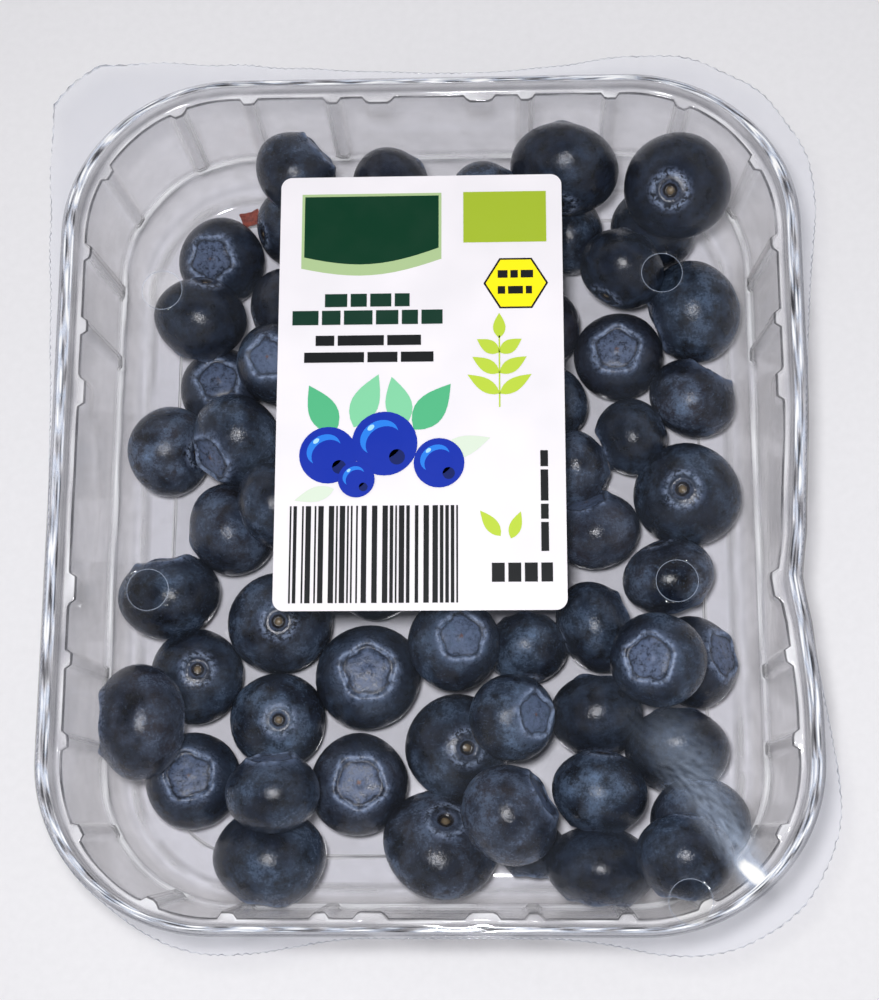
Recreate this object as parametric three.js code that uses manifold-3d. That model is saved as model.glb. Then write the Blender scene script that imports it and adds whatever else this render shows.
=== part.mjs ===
import * as THREE from "three";
import { mergeVertices } from "three/addons/utils/BufferGeometryUtils.js";
import Module from "manifold-3d";

// A sealed punnet of blueberries, lying flat: a clear formed tray with ribbed walls and a flange, a
// heap of berries one to two layers deep, a clear film sealed on the flange, and a paper label on the
// film. Millimetres, +Z up, +Y along the long side, the tray's foot at z = 0.

const wasm = await Module();
wasm.setup();

// Every outline of the tray turns round the same four corner centres. A level says how high an
// outline is, and how far it stands out from them along X and along Y.
const CORNER_CENTRE = { x: 32, y: 42.4 };
const WALL = 0.5;
const LEVELS = {
  floor: { z: 0.5, x: 18.4, y: 18.4 },
  fillet: { z: 1.9, x: 20.2, y: 20.2 },
  lowWall: { z: 4.5, x: 21.2, y: 21.2 },
  ledgeIn: { z: 12, x: 21.8, y: 21.8 },
  ledgeOut: { z: 12.6, x: 22.8, y: 22.6 },
  rim: { z: 33.4, x: 24, y: 23.6 },
  shelf: { z: 33.6, x: 25.2, y: 24.6 },
  sealIn: { z: 36, x: 25.4, y: 24.8 },
  sealOut: { z: 36, x: 27.1, y: 25.6 },
  lipBend: { z: 35.2, x: 27.8, y: 26.2 },
  lip: { z: 33.8, x: 28, y: 26.4 },
};
const INNER_WALL = ["floor", "fillet", "lowWall", "ledgeIn", "ledgeOut", "rim"];

// The floor's middle is raised inside a flat foot.
const FOOT = { width: 3.6, rise: 0.8 };

// Ribs stand in from the upper walls and fan round the corners, and lugs under the rim keep stacked
// trays apart. Places are along a side from its middle, or degrees round a corner.
const RIB = { depth: 0.9, footHalf: 1.3, topHalf: 0.7 };
const LUG = { depth: 1, footHalf: 2.6, topHalf: 1.7 };
const LONG_SIDE = { ribs: [-39.8, -27, 27, 39.8], lugs: [-16, 16], plain: 10 };
const SHORT_SIDE = { ribs: [-30, -16, 16, 30], lugs: [-8.4, 8.4], plain: 6 };
const CORNER_RIBS = { long: 28, short: 66 };
const CORNER_STEP = 10;
const STEP_CLEAR = 5;

// The right side is knocked in, most at the rim, and more sharply towards the front.
const DENT = { depth: 2.2, at: -15, behind: 32, ahead: 22, from: 12 };

// The film is cut close along the sides and stands out at the corners in wavy flaps. Places round
// the edge count 1 for each side with the corner after it, from the front of the right side.
const FILM = { thickness: 0.25, margin: { x: 0.3, y: 1 }, sag: 0.35, ripples: 9 };
const FLAPS = [
  { at: 0.8, wide: 0.45, over: 4.6, droop: -0.9, ripple: 0.5 },
  { at: 1.8, wide: 0.6, over: 2.6, droop: 0.2, ripple: 0.4, square: 1.25 },
  { at: 3.02, wide: 0.2, over: 2.5, droop: -1.2, ripple: 0.2 },
  { at: 3.8, wide: 0.34, over: 5.2, droop: -1.7, ripple: 0.6 },
];
const VENT = { radius: 3.25, sides: 20, cut: 2 };
const VENT_PLACES = [
  [-43, 32.5],
  [37.5, 34.5],
  [-43.5, -16.5],
  [38.5, -15.5],
  [39, -63.5],
];

const LABEL = { x: -1.2, y: 15.6, width: 45.4, length: 71, corner: 1.8, thickness: 0.25, segments: 4 };

// A berry is a ball flattened along its stalk. Each row: x, y, width, how far its crown leans from
// straight up and which way it leans (degrees, 0 is +X), its height over its width where that isn't
// the usual one, and how far over the floor it is held where its neighbours and the wall hold it up.
const USUAL_HEIGHT = 0.85;
const FLOOR_BERRIES = [
  [-25.4, 53, 14.5, 110, 20],
  [24, 51, 13.5, 90, 180],
  [38.5, 51.5, 15.5, 95, 60],
  [-38, 47, 15.5, 18, 233],
  [-15.5, 45.5, 14.5, 40, 60],
  [-1.5, 47.5, 16, 160, 60],
  [12.5, 44.5, 15.5, 90, 60],
  [-26, 37.5, 15, 95, 20],
  [45, 36, 17.8, 100, 200, 0.9],
  [20, 34, 13, 90, 180],
  [-11, 31.5, 16, 60, 160],
  [5, 30.5, 16.5, 30, 60],
  [32, 28.5, 15.5, 7, 201],
  [-37.5, 23.5, 14.5, 4, 45],
  [-19.5, 20, 14, 90, 60],
  [-4.5, 16, 15.5, 120, 90],
  [10, 14, 15, 70, 10],
  [44.5, 20.6, 15, 72, 58, 0.88],
  [34, 14, 13.5, 98, 200, 0.9],
  [21, 20.5, 12.5, 80, 200],
  [-46, 12, 15.5, 120, 170, 0.88],
  [24, 8.5, 13.5, 100, 20],
  [-34.5, -2, 16.5, 110, 200],
  [-16.5, 4.5, 15.5, 60, 200],
  [0.5, 0, 16, 100, 20],
  [27.5, -2.5, 15, 60, 110],
  [43, 3.5, 18, 168, 20],
  [14.5, -5.5, 14, 60, 110],
  [-45, -13.5, 17, 75, 100],
  [-9.5, -11, 15, 60, 110],
  [-26, -18, 17.5, 172, 120],
  [39.5, -10.5, 16, 108, 290, 0.78],
  [-11, -27.2, 17.7, 4, 17],
  [15.5, -22.5, 14, 100, 90],
  [27, -19, 15.5, 92, 20, 0.8],
  [43.5, -25, 15.5, 50, 12],
  [-40.2, -27, 16, 168, 197],
  [27, -34, 15.5, 100, 90, 0.88],
  [-26.3, -34.5, 16, 170, 156],
  [4, -39, 17.5, 165, 159],
  [-40.2, -44.5, 16, 7, 67],
  [40, -39.8, 17.6, 106, 90, 0.76],
  [-12.5, -45, 16.5, 6, 343],
  [1.2, -56.5, 19.4, 143, 256, 0.7],
  [16.3, -55.8, 11.5, 90, 265],
  [27, -60, 17.8, 95, 265, 0.72, 3],
  [-26.5, -58.3, 18.5, 100, 265, 0.85, 2],
];
const UPPER_BERRIES = [
  [32.5, 42, 15, 95, 60],
  [-23.5, 60.5, 14.5, 75, 40, 0.9],
  [-7, 56, 15, 100, 40],
  [9.5, 53.5, 14, 100, 40],
  [22.5, 58.5, 18.5, 100, 80, 0.78],
  [42.2, 54.2, 17.9, 151, 62, 0.95],
  [-40.5, 34.5, 16, 125, 255, 0.88],
  [-26.5, 25.5, 14, 13, 212],
  [-33.5, 12.5, 16, 60, 225, 0.9],
  [-26.1, 0, 14.3, 90, 20],
  [3.5, -22.5, 15.5, 15, 22],
  [36.5, -26, 15.5, 20, 191],
  [-48.3, -35.5, 18.5, 78, 180, 0.8],
  [13, -35, 14.5, 43, 2, 0.88],
  [-25, -47, 15, 75, 90],
  [27, -46.5, 15.5, 108, 265],
  [12.5, -50.5, 16.5, 78, 30, 0.88],
  [43, -51.5, 16, 100, 265, 0.88],
  [41, -60.3, 15.2, 100, 265, 0.88],
];
const HEAP = { give: 0.92, step: 0.1, clear: 0.3, headroom: 2.5, detail: 1 };
const CORE = { reach: 14, bottom: 1.5, top: 7.5, chamfer: 1.5 };

const COLOURS = {
  tray: { color: 0xd9dcdf, roughness: 0.15, transparent: true, opacity: 0.4 },
  berries: { color: 0x2e3647, roughness: 0.55 },
  film: { color: 0xe9ecee, roughness: 0.2, transparent: true, opacity: 0.3 },
  label: { color: 0xf1eff0, roughness: 0.6 },
};

const { degToRad, radToDeg, smoothstep, clamp } = THREE.MathUtils;
const UP = new THREE.Vector3(0, 0, 1);

function easeBump(distance, width) {
  return Math.abs(distance) < width ? 0.5 * (1 + Math.cos((Math.PI * distance) / width)) : 0;
}

// Marks across each rib or lug: its two feet and the two edges of its top.
function bumpMarks(places, shape, kind, scale = 1) {
  return places.flatMap((place) => [
    { at: place - shape.footHalf * scale },
    { at: place - shape.topHalf * scale, [kind]: 1 },
    { at: place + shape.topHalf * scale, [kind]: 1 },
    { at: place + shape.footHalf * scale },
  ]);
}

function inOrder(marks) {
  return marks.sort((a, b) => a.at - b.at);
}

function sideMarks(side, half, ribbed) {
  if (ribbed) {
    return inOrder([...bumpMarks(side.ribs, RIB, "rib"), ...bumpMarks(side.lugs, LUG, "lug"), { at: 0 }]);
  }
  return Array.from({ length: side.plain - 1 }, (_, i) => ({ at: half * ((2 * i + 2) / side.plain - 1) }));
}

function cornerMarks(ribPlaces, ribbed) {
  const steps = Array.from({ length: 90 / CORNER_STEP + 1 }, (_, i) => ({ at: i * CORNER_STEP }));
  if (!ribbed) return steps;
  const open = steps.filter((m) => ribPlaces.every((place) => Math.abs(m.at - place) > STEP_CLEAR));
  return inOrder([...open, ...bumpMarks(ribPlaces, RIB, "rib", radToDeg(1 / LEVELS.rim.x))]);
}

// The stations round an outline, anticlockwise from the front of the right side: a base point on
// the rectangle of the corner centres, the way out of it, and how far round it is, from 0 to 4.
const STRAIGHT_SHARE = 0.6;
function stations(ribbed) {
  const list = [];
  for (let side = 0; side < 4; side++) {
    const turn = (side * Math.PI) / 2;
    const out = { x: Math.round(Math.cos(turn)), y: Math.round(Math.sin(turn)) };
    const short = side % 2 === 1;
    const across = short ? CORNER_CENTRE.y : CORNER_CENTRE.x;
    const half = short ? CORNER_CENTRE.x : CORNER_CENTRE.y;
    const put = (along, angle, round, mark) => {
      const base = { x: out.x * across - out.y * along, y: out.y * across + out.x * along };
      list.push({ ...base, nx: Math.cos(angle), ny: Math.sin(angle), round, rib: mark.rib ?? 0, lug: mark.lug ?? 0 });
    };
    for (const mark of sideMarks(short ? SHORT_SIDE : LONG_SIDE, half, ribbed)) {
      put(mark.at, turn, side + STRAIGHT_SHARE * (0.5 + mark.at / (2 * half)), mark);
    }
    const ribPlaces = [CORNER_RIBS.long, CORNER_RIBS.short].map((a) => (short ? 90 - a : a));
    for (const mark of cornerMarks(ribPlaces, ribbed)) {
      const share = STRAIGHT_SHARE + ((1 - STRAIGHT_SHARE) * mark.at) / 90;
      put(half, turn + degToRad(mark.at), side + share, mark);
    }
  }
  return list;
}
const PLAIN = stations(false);
const RIBBED = stations(true);

function dented([x, y, z]) {
  if (x < CORNER_CENTRE.x) return [x, y, z];
  const off = y - DENT.at;
  const high = smoothstep(z, DENT.from, LEVELS.rim.z);
  return [x - DENT.depth * easeBump(off, off > 0 ? DENT.behind : DENT.ahead) * high, y, z];
}

function ring(level, { ribs = 0, lugs = 0 } = {}) {
  return (ribs ? RIBBED : PLAIN).map((s) => {
    const inset = ribs * s.rib + lugs * s.lug;
    const place = [s.x + s.nx * (level.x - inset), s.y + s.ny * (level.y - inset), level.z];
    return { round: s.round, place: dented(place) };
  });
}

function moved(level, out, up = 0) {
  return { x: level.x + out, y: level.y + out, z: level.z + up };
}

// Skins a stack of closed outlines, and closes the first and the last over their middles. Outlines
// with unlike marks are joined in the order that the marks come round.
function loft(rings) {
  const positions = [];
  const index = [];
  const put = (place) => positions.push(...place) / 3 - 1;
  const rows = rings.map((r) => r.map((mark) => ({ round: mark.round, id: put(mark.place) })));
  const at = (row, i) => ({
    id: row[i % row.length].id,
    round: row[i % row.length].round + 4 * Math.floor(i / row.length),
  });
  const middle = (r) => put([0, 1, 2].map((axis) => r.reduce((sum, m) => sum + m.place[axis], 0) / r.length));

  const first = middle(rings[0]);
  rows[0].forEach((_, i) => index.push(first, at(rows[0], i).id, at(rows[0], i + 1).id));
  for (let k = 0; k + 1 < rows.length; k++) {
    const [a, b] = [rows[k], rows[k + 1]];
    let [i, j] = [0, 0];
    while (i < a.length || j < b.length) {
      const alongA = j === b.length || (i < a.length && at(a, i + 1).round < at(b, j + 1).round);
      const next = alongA ? at(a, i + 1) : at(b, j + 1);
      index.push(at(a, i).id, at(b, j).id, next.id);
      if (alongA) i++;
      else j++;
    }
  }
  const end = rows.length - 1;
  const last = middle(rings[end]);
  rows[end].forEach((_, i) => index.push(last, at(rows[end], i + 1).id, at(rows[end], i).id));

  const geometry = new THREE.BufferGeometry();
  geometry.setAttribute("position", new THREE.Float32BufferAttribute(positions, 3));
  geometry.setIndex(index);
  return geometry;
}

function toSolid(geometry) {
  const bare = geometry.clone();
  bare.deleteAttribute("normal");
  bare.deleteAttribute("uv");
  const merged = mergeVertices(bare, 1e-4);
  const vertProperties = merged.attributes.position.array;
  const triVerts = new Uint32Array(merged.index.array);
  return new wasm.Manifold(new wasm.Mesh({ numProp: 3, vertProperties, triVerts }));
}

function toGeometry(solid) {
  const mesh = solid.getMesh();
  const geometry = new THREE.BufferGeometry();
  geometry.setAttribute("position", new THREE.BufferAttribute(mesh.vertProperties, 3));
  geometry.setIndex(new THREE.BufferAttribute(mesh.triVerts, 1));
  geometry.computeVertexNormals();
  return geometry;
}

const PANELS = { ribs: RIB.depth };
const PANELS_AND_LUGS = { ribs: RIB.depth, lugs: LUG.depth };

// The inside wall from the floor up to the rim, drawn in by a clearance.
function innerRings(clearance) {
  return INNER_WALL.map((name) => {
    const level = moved(LEVELS[name], -clearance);
    if (name === "rim") return ring(level, PANELS_AND_LUGS);
    return ring(level, name === "ledgeOut" ? PANELS : {});
  });
}

// One skin from the middle of the floor up the inside, over the flange and down to the foot.
function trayGeometry() {
  const { floor, lowWall, ledgeIn, ledgeOut, rim, shelf, sealIn, sealOut, lipBend, lip } = LEVELS;
  const footIn = moved(floor, -FOOT.width);
  return loft([
    ring(moved(footIn, -WALL, FOOT.rise)),
    ring(footIn),
    ...innerRings(0),
    ring(shelf),
    ring(sealIn),
    ring(sealOut),
    ring(lipBend),
    ring(lip),
    ring(moved(lip, -WALL)),
    ring(moved(lipBend, -WALL, -0.2)),
    ring(moved(sealOut, -0.2, -WALL)),
    ring(moved(sealIn, WALL, -WALL)),
    ring(moved(shelf, WALL, -WALL)),
    ring(moved(rim, WALL, -0.7), PANELS_AND_LUGS),
    ring(moved(ledgeOut, WALL, -0.4), PANELS),
    ring(moved(ledgeIn, WALL, -0.4)),
    ring(moved(lowWall, WALL)),
    ring(moved(floor, 0.7, -floor.z)),
    ring(moved(footIn, -0.2, -floor.z)),
    ring(moved(footIn, -WALL - 0.2, FOOT.rise - WALL)),
  ]);
}

// How far the inside wall stands out from the corner centres at a height.
function wallAt(z) {
  const levels = INNER_WALL.map((name) => LEVELS[name]);
  const over = Math.max(1, levels.findIndex((level) => level.z > z));
  const [low, high] = [levels[over - 1], levels[over]];
  return low.x + ((high.x - low.x) * (z - low.z)) / (high.z - low.z);
}

// How far a berry reaches from its middle along a unit vector.
function reachOf(berry, unit) {
  const c = berry.crown.dot(unit);
  return berry.half * Math.sqrt(1 - c * c + (berry.height * c) ** 2);
}

// Puts a berry at its place, drawn in from the wall as far as its height needs.
function keepInside(berry) {
  const { x, y } = berry.place;
  const { z } = berry.middle;
  const base = { x: clamp(x, -CORNER_CENTRE.x, CORNER_CENTRE.x), y: clamp(y, -CORNER_CENTRE.y, CORNER_CENTRE.y) };
  const out = new THREE.Vector3(x - base.x, y - base.y, 0);
  const distance = out.length();
  if (distance === 0) return;
  const most = wallAt(z) - HEAP.clear - reachOf(berry, out.divideScalar(distance));
  const reach = Math.min(distance, most);
  berry.middle.set(base.x + out.x * reach, base.y + out.y * reach, z);
}

function berryOnFloor([x, y, width, lean, turn, height = USUAL_HEIGHT, lift = 0]) {
  const level = Math.sin(degToRad(lean));
  const crown = new THREE.Vector3(
    level * Math.cos(degToRad(turn)),
    level * Math.sin(degToRad(turn)),
    Math.cos(degToRad(lean)),
  );
  const berry = { place: { x, y }, middle: new THREE.Vector3(x, y, 0), half: width / 2, crown, height };
  berry.middle.z = LEVELS.floor.z + FOOT.rise + HEAP.clear + lift + reachOf(berry, UP);
  keepInside(berry);
  return berry;
}

function touches(berry, other) {
  const apart = berry.middle.clone().sub(other.middle);
  const distance = apart.length();
  const unit = apart.divideScalar(distance);
  return distance < HEAP.give * (reachOf(berry, unit) + reachOf(other, unit));
}

// The floor berries lie on the floor, and each upper berry is raised until it lies on those before
// it. Berries give a little where they touch.
function heap() {
  const placed = FLOOR_BERRIES.map(berryOnFloor);
  for (const row of UPPER_BERRIES) {
    const berry = berryOnFloor(row);
    const highest = LEVELS.sealOut.z - HEAP.headroom - reachOf(berry, UP);
    while (berry.middle.z < highest && placed.some((other) => touches(berry, other))) {
      berry.middle.z += HEAP.step;
      keepInside(berry);
    }
    placed.push(berry);
  }
  return placed;
}

function berrySolid(berry) {
  const geometry = new THREE.IcosahedronGeometry(berry.half, HEAP.detail);
  geometry.scale(1, 1, berry.height);
  geometry.applyQuaternion(new THREE.Quaternion().setFromUnitVectors(UP, berry.crown));
  geometry.translate(...berry.middle);
  return toSolid(geometry);
}

function coreSolid() {
  const level = { x: CORE.reach, y: CORE.reach, z: CORE.bottom };
  const height = CORE.top - CORE.bottom;
  return toSolid(
    loft([
      ring(moved(level, -CORE.chamfer, height)),
      ring(moved(level, 0, height - CORE.chamfer)),
      ring(moved(level, 0, CORE.chamfer)),
      ring(moved(level, -CORE.chamfer)),
    ]),
  );
}

// The berries are joined through a low core and kept clear of the tray.
function berriesGeometry() {
  const joined = heap().reduce((sum, berry) => sum.add(berrySolid(berry)), coreSolid());
  const room = toSolid(loft(innerRings(HEAP.clear).reverse()));
  return toGeometry(joined.intersect(room));
}

function flapBumps(s) {
  const away = (flap) => ((s.round - flap.at + 6) % 4) - 2;
  return FLAPS.map((flap) => ({ flap, size: easeBump(away(flap), flap.wide) }));
}

// The film's outline at a share of the way from the sealing face to the cut edge.
function filmRing(share, top) {
  const seal = LEVELS.sealOut;
  return PLAIN.map((s) => {
    let over = 0;
    let z = -FILM.sag;
    let corner = 1;
    for (const { flap, size } of flapBumps(s)) {
      over += flap.over * size;
      z += size * (FILM.sag + flap.droop + flap.ripple * Math.sin(FILM.ripples * 2 * Math.PI * s.round));
      if (flap.square && size > 0) {
        corner = Math.min(flap.square, 1 / Math.max(Math.abs(s.nx), Math.abs(s.ny)));
      }
    }
    const edge = {
      x: (seal.x + FILM.margin.x + over) * corner,
      y: (seal.y + FILM.margin.y + over) * corner,
    };
    const reach = { x: seal.x + (edge.x - seal.x) * share, y: seal.y + (edge.y - seal.y) * share };
    const height = seal.z + z * share * share + (top ? FILM.thickness : 0);
    const [x, y] = dented([s.x + s.nx * reach.x, s.y + s.ny * reach.y, seal.z]);
    return { round: s.round, place: [x, y, height] };
  });
}

function ventSolid([x, y]) {
  const geometry = new THREE.CylinderGeometry(VENT.radius, VENT.radius, VENT.cut, VENT.sides);
  geometry.rotateX(Math.PI / 2);
  geometry.translate(x, y, LEVELS.sealOut.z + FILM.thickness / 2);
  return toSolid(geometry);
}

function filmGeometry() {
  const shares = [0, 0.5, 1];
  const sheet = loft([
    ...shares.map((share) => filmRing(share, true)),
    ...shares.reverse().map((share) => filmRing(share, false)),
  ]);
  return toGeometry(VENT_PLACES.reduce((film, place) => film.subtract(ventSolid(place)), toSolid(sheet)));
}

function labelGeometry() {
  const [x, y] = [LABEL.width / 2 - LABEL.corner, LABEL.length / 2 - LABEL.corner];
  const outline = new THREE.Shape();
  outline.absarc(x, y, LABEL.corner, 0, Math.PI / 2);
  outline.absarc(-x, y, LABEL.corner, Math.PI / 2, Math.PI);
  outline.absarc(-x, -y, LABEL.corner, Math.PI, 1.5 * Math.PI);
  outline.absarc(x, -y, LABEL.corner, 1.5 * Math.PI, 2 * Math.PI);
  const extrusion = { depth: LABEL.thickness, bevelEnabled: false, curveSegments: LABEL.segments };
  const geometry = new THREE.ExtrudeGeometry(outline, extrusion);
  geometry.translate(LABEL.x, LABEL.y, LEVELS.sealOut.z + FILM.thickness);
  return geometry;
}

function piece(name, geometry, look) {
  const mesh = new THREE.Mesh(geometry, new THREE.MeshStandardMaterial(look));
  mesh.name = name;
  return mesh;
}

const group = new THREE.Group();
group.add(piece("tray", trayGeometry(), COLOURS.tray));
group.add(piece("berries", berriesGeometry(), COLOURS.berries));
group.add(piece("lid_film", filmGeometry(), COLOURS.film));
group.add(piece("label", labelGeometry(), COLOURS.label));

// The flaps differ from corner to corner, so the pieces move to put the middle of the whole on the
// origin's axis.
const middle = new THREE.Box3().setFromObject(group, true).getCenter(new THREE.Vector3());
for (const mesh of group.children) mesh.position.set(-middle.x, -middle.y, 0);

export default group;
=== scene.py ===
"""A sealed punnet of blueberries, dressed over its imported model."""

import math
import random
from functools import partial

import bmesh
import bpy
from bpy.props import FloatProperty, FloatVectorProperty, IntProperty, PointerProperty
from mathutils import Euler, Matrix, Vector, noise


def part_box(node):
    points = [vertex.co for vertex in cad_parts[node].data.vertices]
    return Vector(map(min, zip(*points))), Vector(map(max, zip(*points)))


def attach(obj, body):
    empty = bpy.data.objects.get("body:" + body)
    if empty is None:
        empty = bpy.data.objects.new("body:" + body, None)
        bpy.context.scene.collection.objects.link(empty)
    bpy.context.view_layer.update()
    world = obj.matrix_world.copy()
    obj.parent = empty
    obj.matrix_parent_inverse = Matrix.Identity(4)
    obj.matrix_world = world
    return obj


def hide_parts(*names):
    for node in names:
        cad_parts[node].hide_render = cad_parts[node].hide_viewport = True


bl_info = {
    "name": "Blueberry Punnet",
    "version": (1, 0, 0),
    "blender": (4, 5, 0),
    "location": "View3D > Sidebar > Punnet",
    "description": "Builds the berries, clear tray, sealing film and paper label of a punnet",
    "category": "Object",
}

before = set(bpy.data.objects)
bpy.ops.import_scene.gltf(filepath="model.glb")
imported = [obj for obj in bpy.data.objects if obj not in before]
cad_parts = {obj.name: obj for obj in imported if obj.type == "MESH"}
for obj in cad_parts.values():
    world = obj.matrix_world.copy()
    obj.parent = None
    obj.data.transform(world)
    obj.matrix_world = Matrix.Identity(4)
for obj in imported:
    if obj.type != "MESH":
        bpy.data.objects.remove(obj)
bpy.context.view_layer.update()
BODY = "root"

# Lengths below are in millimetres, and this turns them into metres. Points nearer than the merging
# distance become one.
MM = 0.001
MERGE = 0.01

# The tray is symmetric about its middle, which the uneven flaps of the film put beside the origin.
TRAY_LOW, TRAY_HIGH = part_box("tray")
MIDDLE = Vector(((TRAY_LOW.x + TRAY_HIGH.x) / 2, (TRAY_LOW.y + TRAY_HIGH.y) / 2, 0))
TO_METRES = Matrix.Translation(MIDDLE) @ Matrix.Scale(MM, 4)

# The tray's outlines turn round four corner centres, and stand out from them by a reach. The reach
# along Y falls short of that along X towards the flange.
CORNER_X, CORNER_Y = 32.0, 42.4
REACH_X = (21.8, 22.8, 24.0, 25.2, 25.4, 27.1, 27.8, 28.0)
REACH_Y = (21.8, 22.6, 23.6, 24.6, 24.8, 25.6, 26.2, 26.4)
FLOOR_Z = 1.3
RIM_Z = 33.4
SEAL_Z = 36.0
SEAL_IN, SEAL_OUT = 25.4, 27.1
SIDE_RADIUS = 24.0

# The skin of the tray from the floor's edge to the lip: reach and height of each outline, then how strong the
# painted shade line and the painted highlight line at the bend there are.
FOOT_PROFILE = (
    (13.9, 1.3, 0.0, 0.0),
    (14.2, 1.3, 0.0, 0.9),
    (14.4, 1.2, 0.9, 0.0),
    (14.6, 0.55, 0.0, 0.7),
    (15.0, 0.42, 0.0, 0.0),
    (17.6, 0.42, 0.0, 0.0),
)
SIDE_PROFILE = (
    (18.4, 0.47, 0.0, 0.0),
    (19.2, 0.85, 0.15, 0.2),
    (19.8, 1.4, 0.0, 0.45),
    (20.3, 2.1, 0.0, 0.1),
    (20.8, 3.2, 0.1, 0.0),
    (21.2, 4.8, 0.0, 0.0),
    (21.4, 7.0, 0.0, 0.0),
    (21.6, 9.5, 0.0, 0.05),
    (21.75, 11.3, 0.1, 0.0),
    (21.85, 11.9, 0.35, 0.0),
    (22.05, 12.2, 0.0, 1.0),
    (22.5, 12.4, 0.0, 1.1),
    (22.75, 12.6, 0.0, 0.5),
    (22.82, 13.1, 0.2, 0.0),
)
PANEL_FOOT, PANEL_TOP = (22.85, 13.8), (23.93, 32.6)
PANEL_STEPS = 14
RIM_PROFILE = (
    (23.98, 33.0, 0.1, 0.0),
    (24.08, 33.25, 1.0, 0.0),
    (24.25, 33.4, 1.0, 0.0),
    (24.45, 33.43, 0.0, 0.8),
    (24.8, 33.48, 0.0, 0.5),
    (25.1, 33.6, 0.3, 0.0),
    (25.22, 33.9, 0.45, 0.0),
    (25.26, 34.6, 0.1, 0.0),
    (25.32, 35.4, 0.2, 0.0),
    (25.42, 35.8, 0.5, 0.0),
    (25.6, 36.0, 0.0, 1.0),
    (25.8, 35.92, 0.3, 0.0),
    (26.0, 36.0, 0.0, 0.8),
    (26.2, 35.92, 0.25, 0.0),
    (26.4, 36.0, 0.0, 0.9),
    (26.6, 35.92, 0.35, 0.0),
    (26.8, 36.0, 0.0, 0.9),
    (27.1, 35.98, 0.1, 0.0),
    (27.4, 35.85, 0.1, 0.0),
    (27.6, 35.55, 0.5, 0.0),
    (27.8, 35.1, 0.15, 0.0),
    (27.92, 34.5, 0.1, 0.1),
    (28.0, 33.9, 0.6, 0.0),
)

# Ribs and denest lugs: places along each side from its middle, and degrees round each corner.
LONG_RIBS, LONG_LUGS = (-39.8, -27.0, 27.0, 39.8), (-16.0, 16.0)
SHORT_RIBS, SHORT_LUGS = (-30.0, -16.0, 16.0, 30.0), (-8.4, 8.4)
CORNER_RIB_LONG, CORNER_RIB_SHORT = 28.0, 66.0
RIB_HALF, RIB_SLOPE = 1.15, 0.6
LUG_HALF, LUG_SLOPE = 2.2, 0.8
# The last value here is the painted highlight at the ribs' feet.
RIB_FOOT, RIB_FADE, RIB_FOOT_HIGHLIGHT = 12.2, 1.2, 0.9
LUG_FOOT, LUG_FULL = 25.0, 31.0
BEAD_Z, BEAD_HALF, BEAD_PANEL, BEAD_BOW = 21.5, 1.1, 13.0, 3.5

# How the painted shade and highlight lines in the tray and on the seal break up: how fast round the outline
# and over the reach.
LINE_ROUND, LINE_REACH, LINE_SHARE, LINE_SPREAD, LEAST_DARK = 14, 4.5, 0.55, 1.5, 0.35
# A painted shade over each rib's strip, and the painted highlight along the rib's edges.
RIB_SHADE, RIB_EDGE_HIGHLIGHT = 0.1, 0.7
SEAL_ROUND, SEAL_REACH, SEAL_RIPPLE = 25, 6, 0.05

# The dent in the right side: its depth, where it is, how far it spreads to each side and from what
# height, and the share and width of the crease in it.
DENT_DEPTH, DENT_AT, DENT_BEHIND, DENT_AHEAD, DENT_FROM = 2.2, -15.0, 32.0, 22.0, 12.0
CREASE_SHARE, CREASE_WIDTH = 0.35, 7.0

# A flap of the film: where it is round the edge (1 for each side with the corner after it), how wide,
# how far over the flange, how far down, how deep its ripple is, and how square its corner is.
FLAPS = (
    (0.8, 0.45, 4.6, -0.9, 0.5, 1.0),
    (1.8, 0.6, 2.6, 0.2, 0.4, 1.25),
    (3.02, 0.2, 2.5, -1.2, 0.2, 1.0),
    (3.8, 0.34, 5.2, -1.7, 0.6, 1.0),
)
FLAP_MARGIN_X, FLAP_MARGIN_Y, FLAP_SAG, FLAP_RIPPLES = 0.3, 1.0, -0.35, 9

# The vents, and the bead round each, which is whitened partly as milky plastic and partly as a painted
# highlight.
VENT_RADIUS, VENT_SEGMENTS, VENT_CUT = 3.25, 48, 4
RIM_BEAD, RIM_HAZE_AND_HIGHLIGHT = 0.05, 0.3
VENTS = ((-43.0, 32.5), (37.5, 34.5), (-43.5, -16.5), (38.5, -15.5), (39.0, -63.5))

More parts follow.
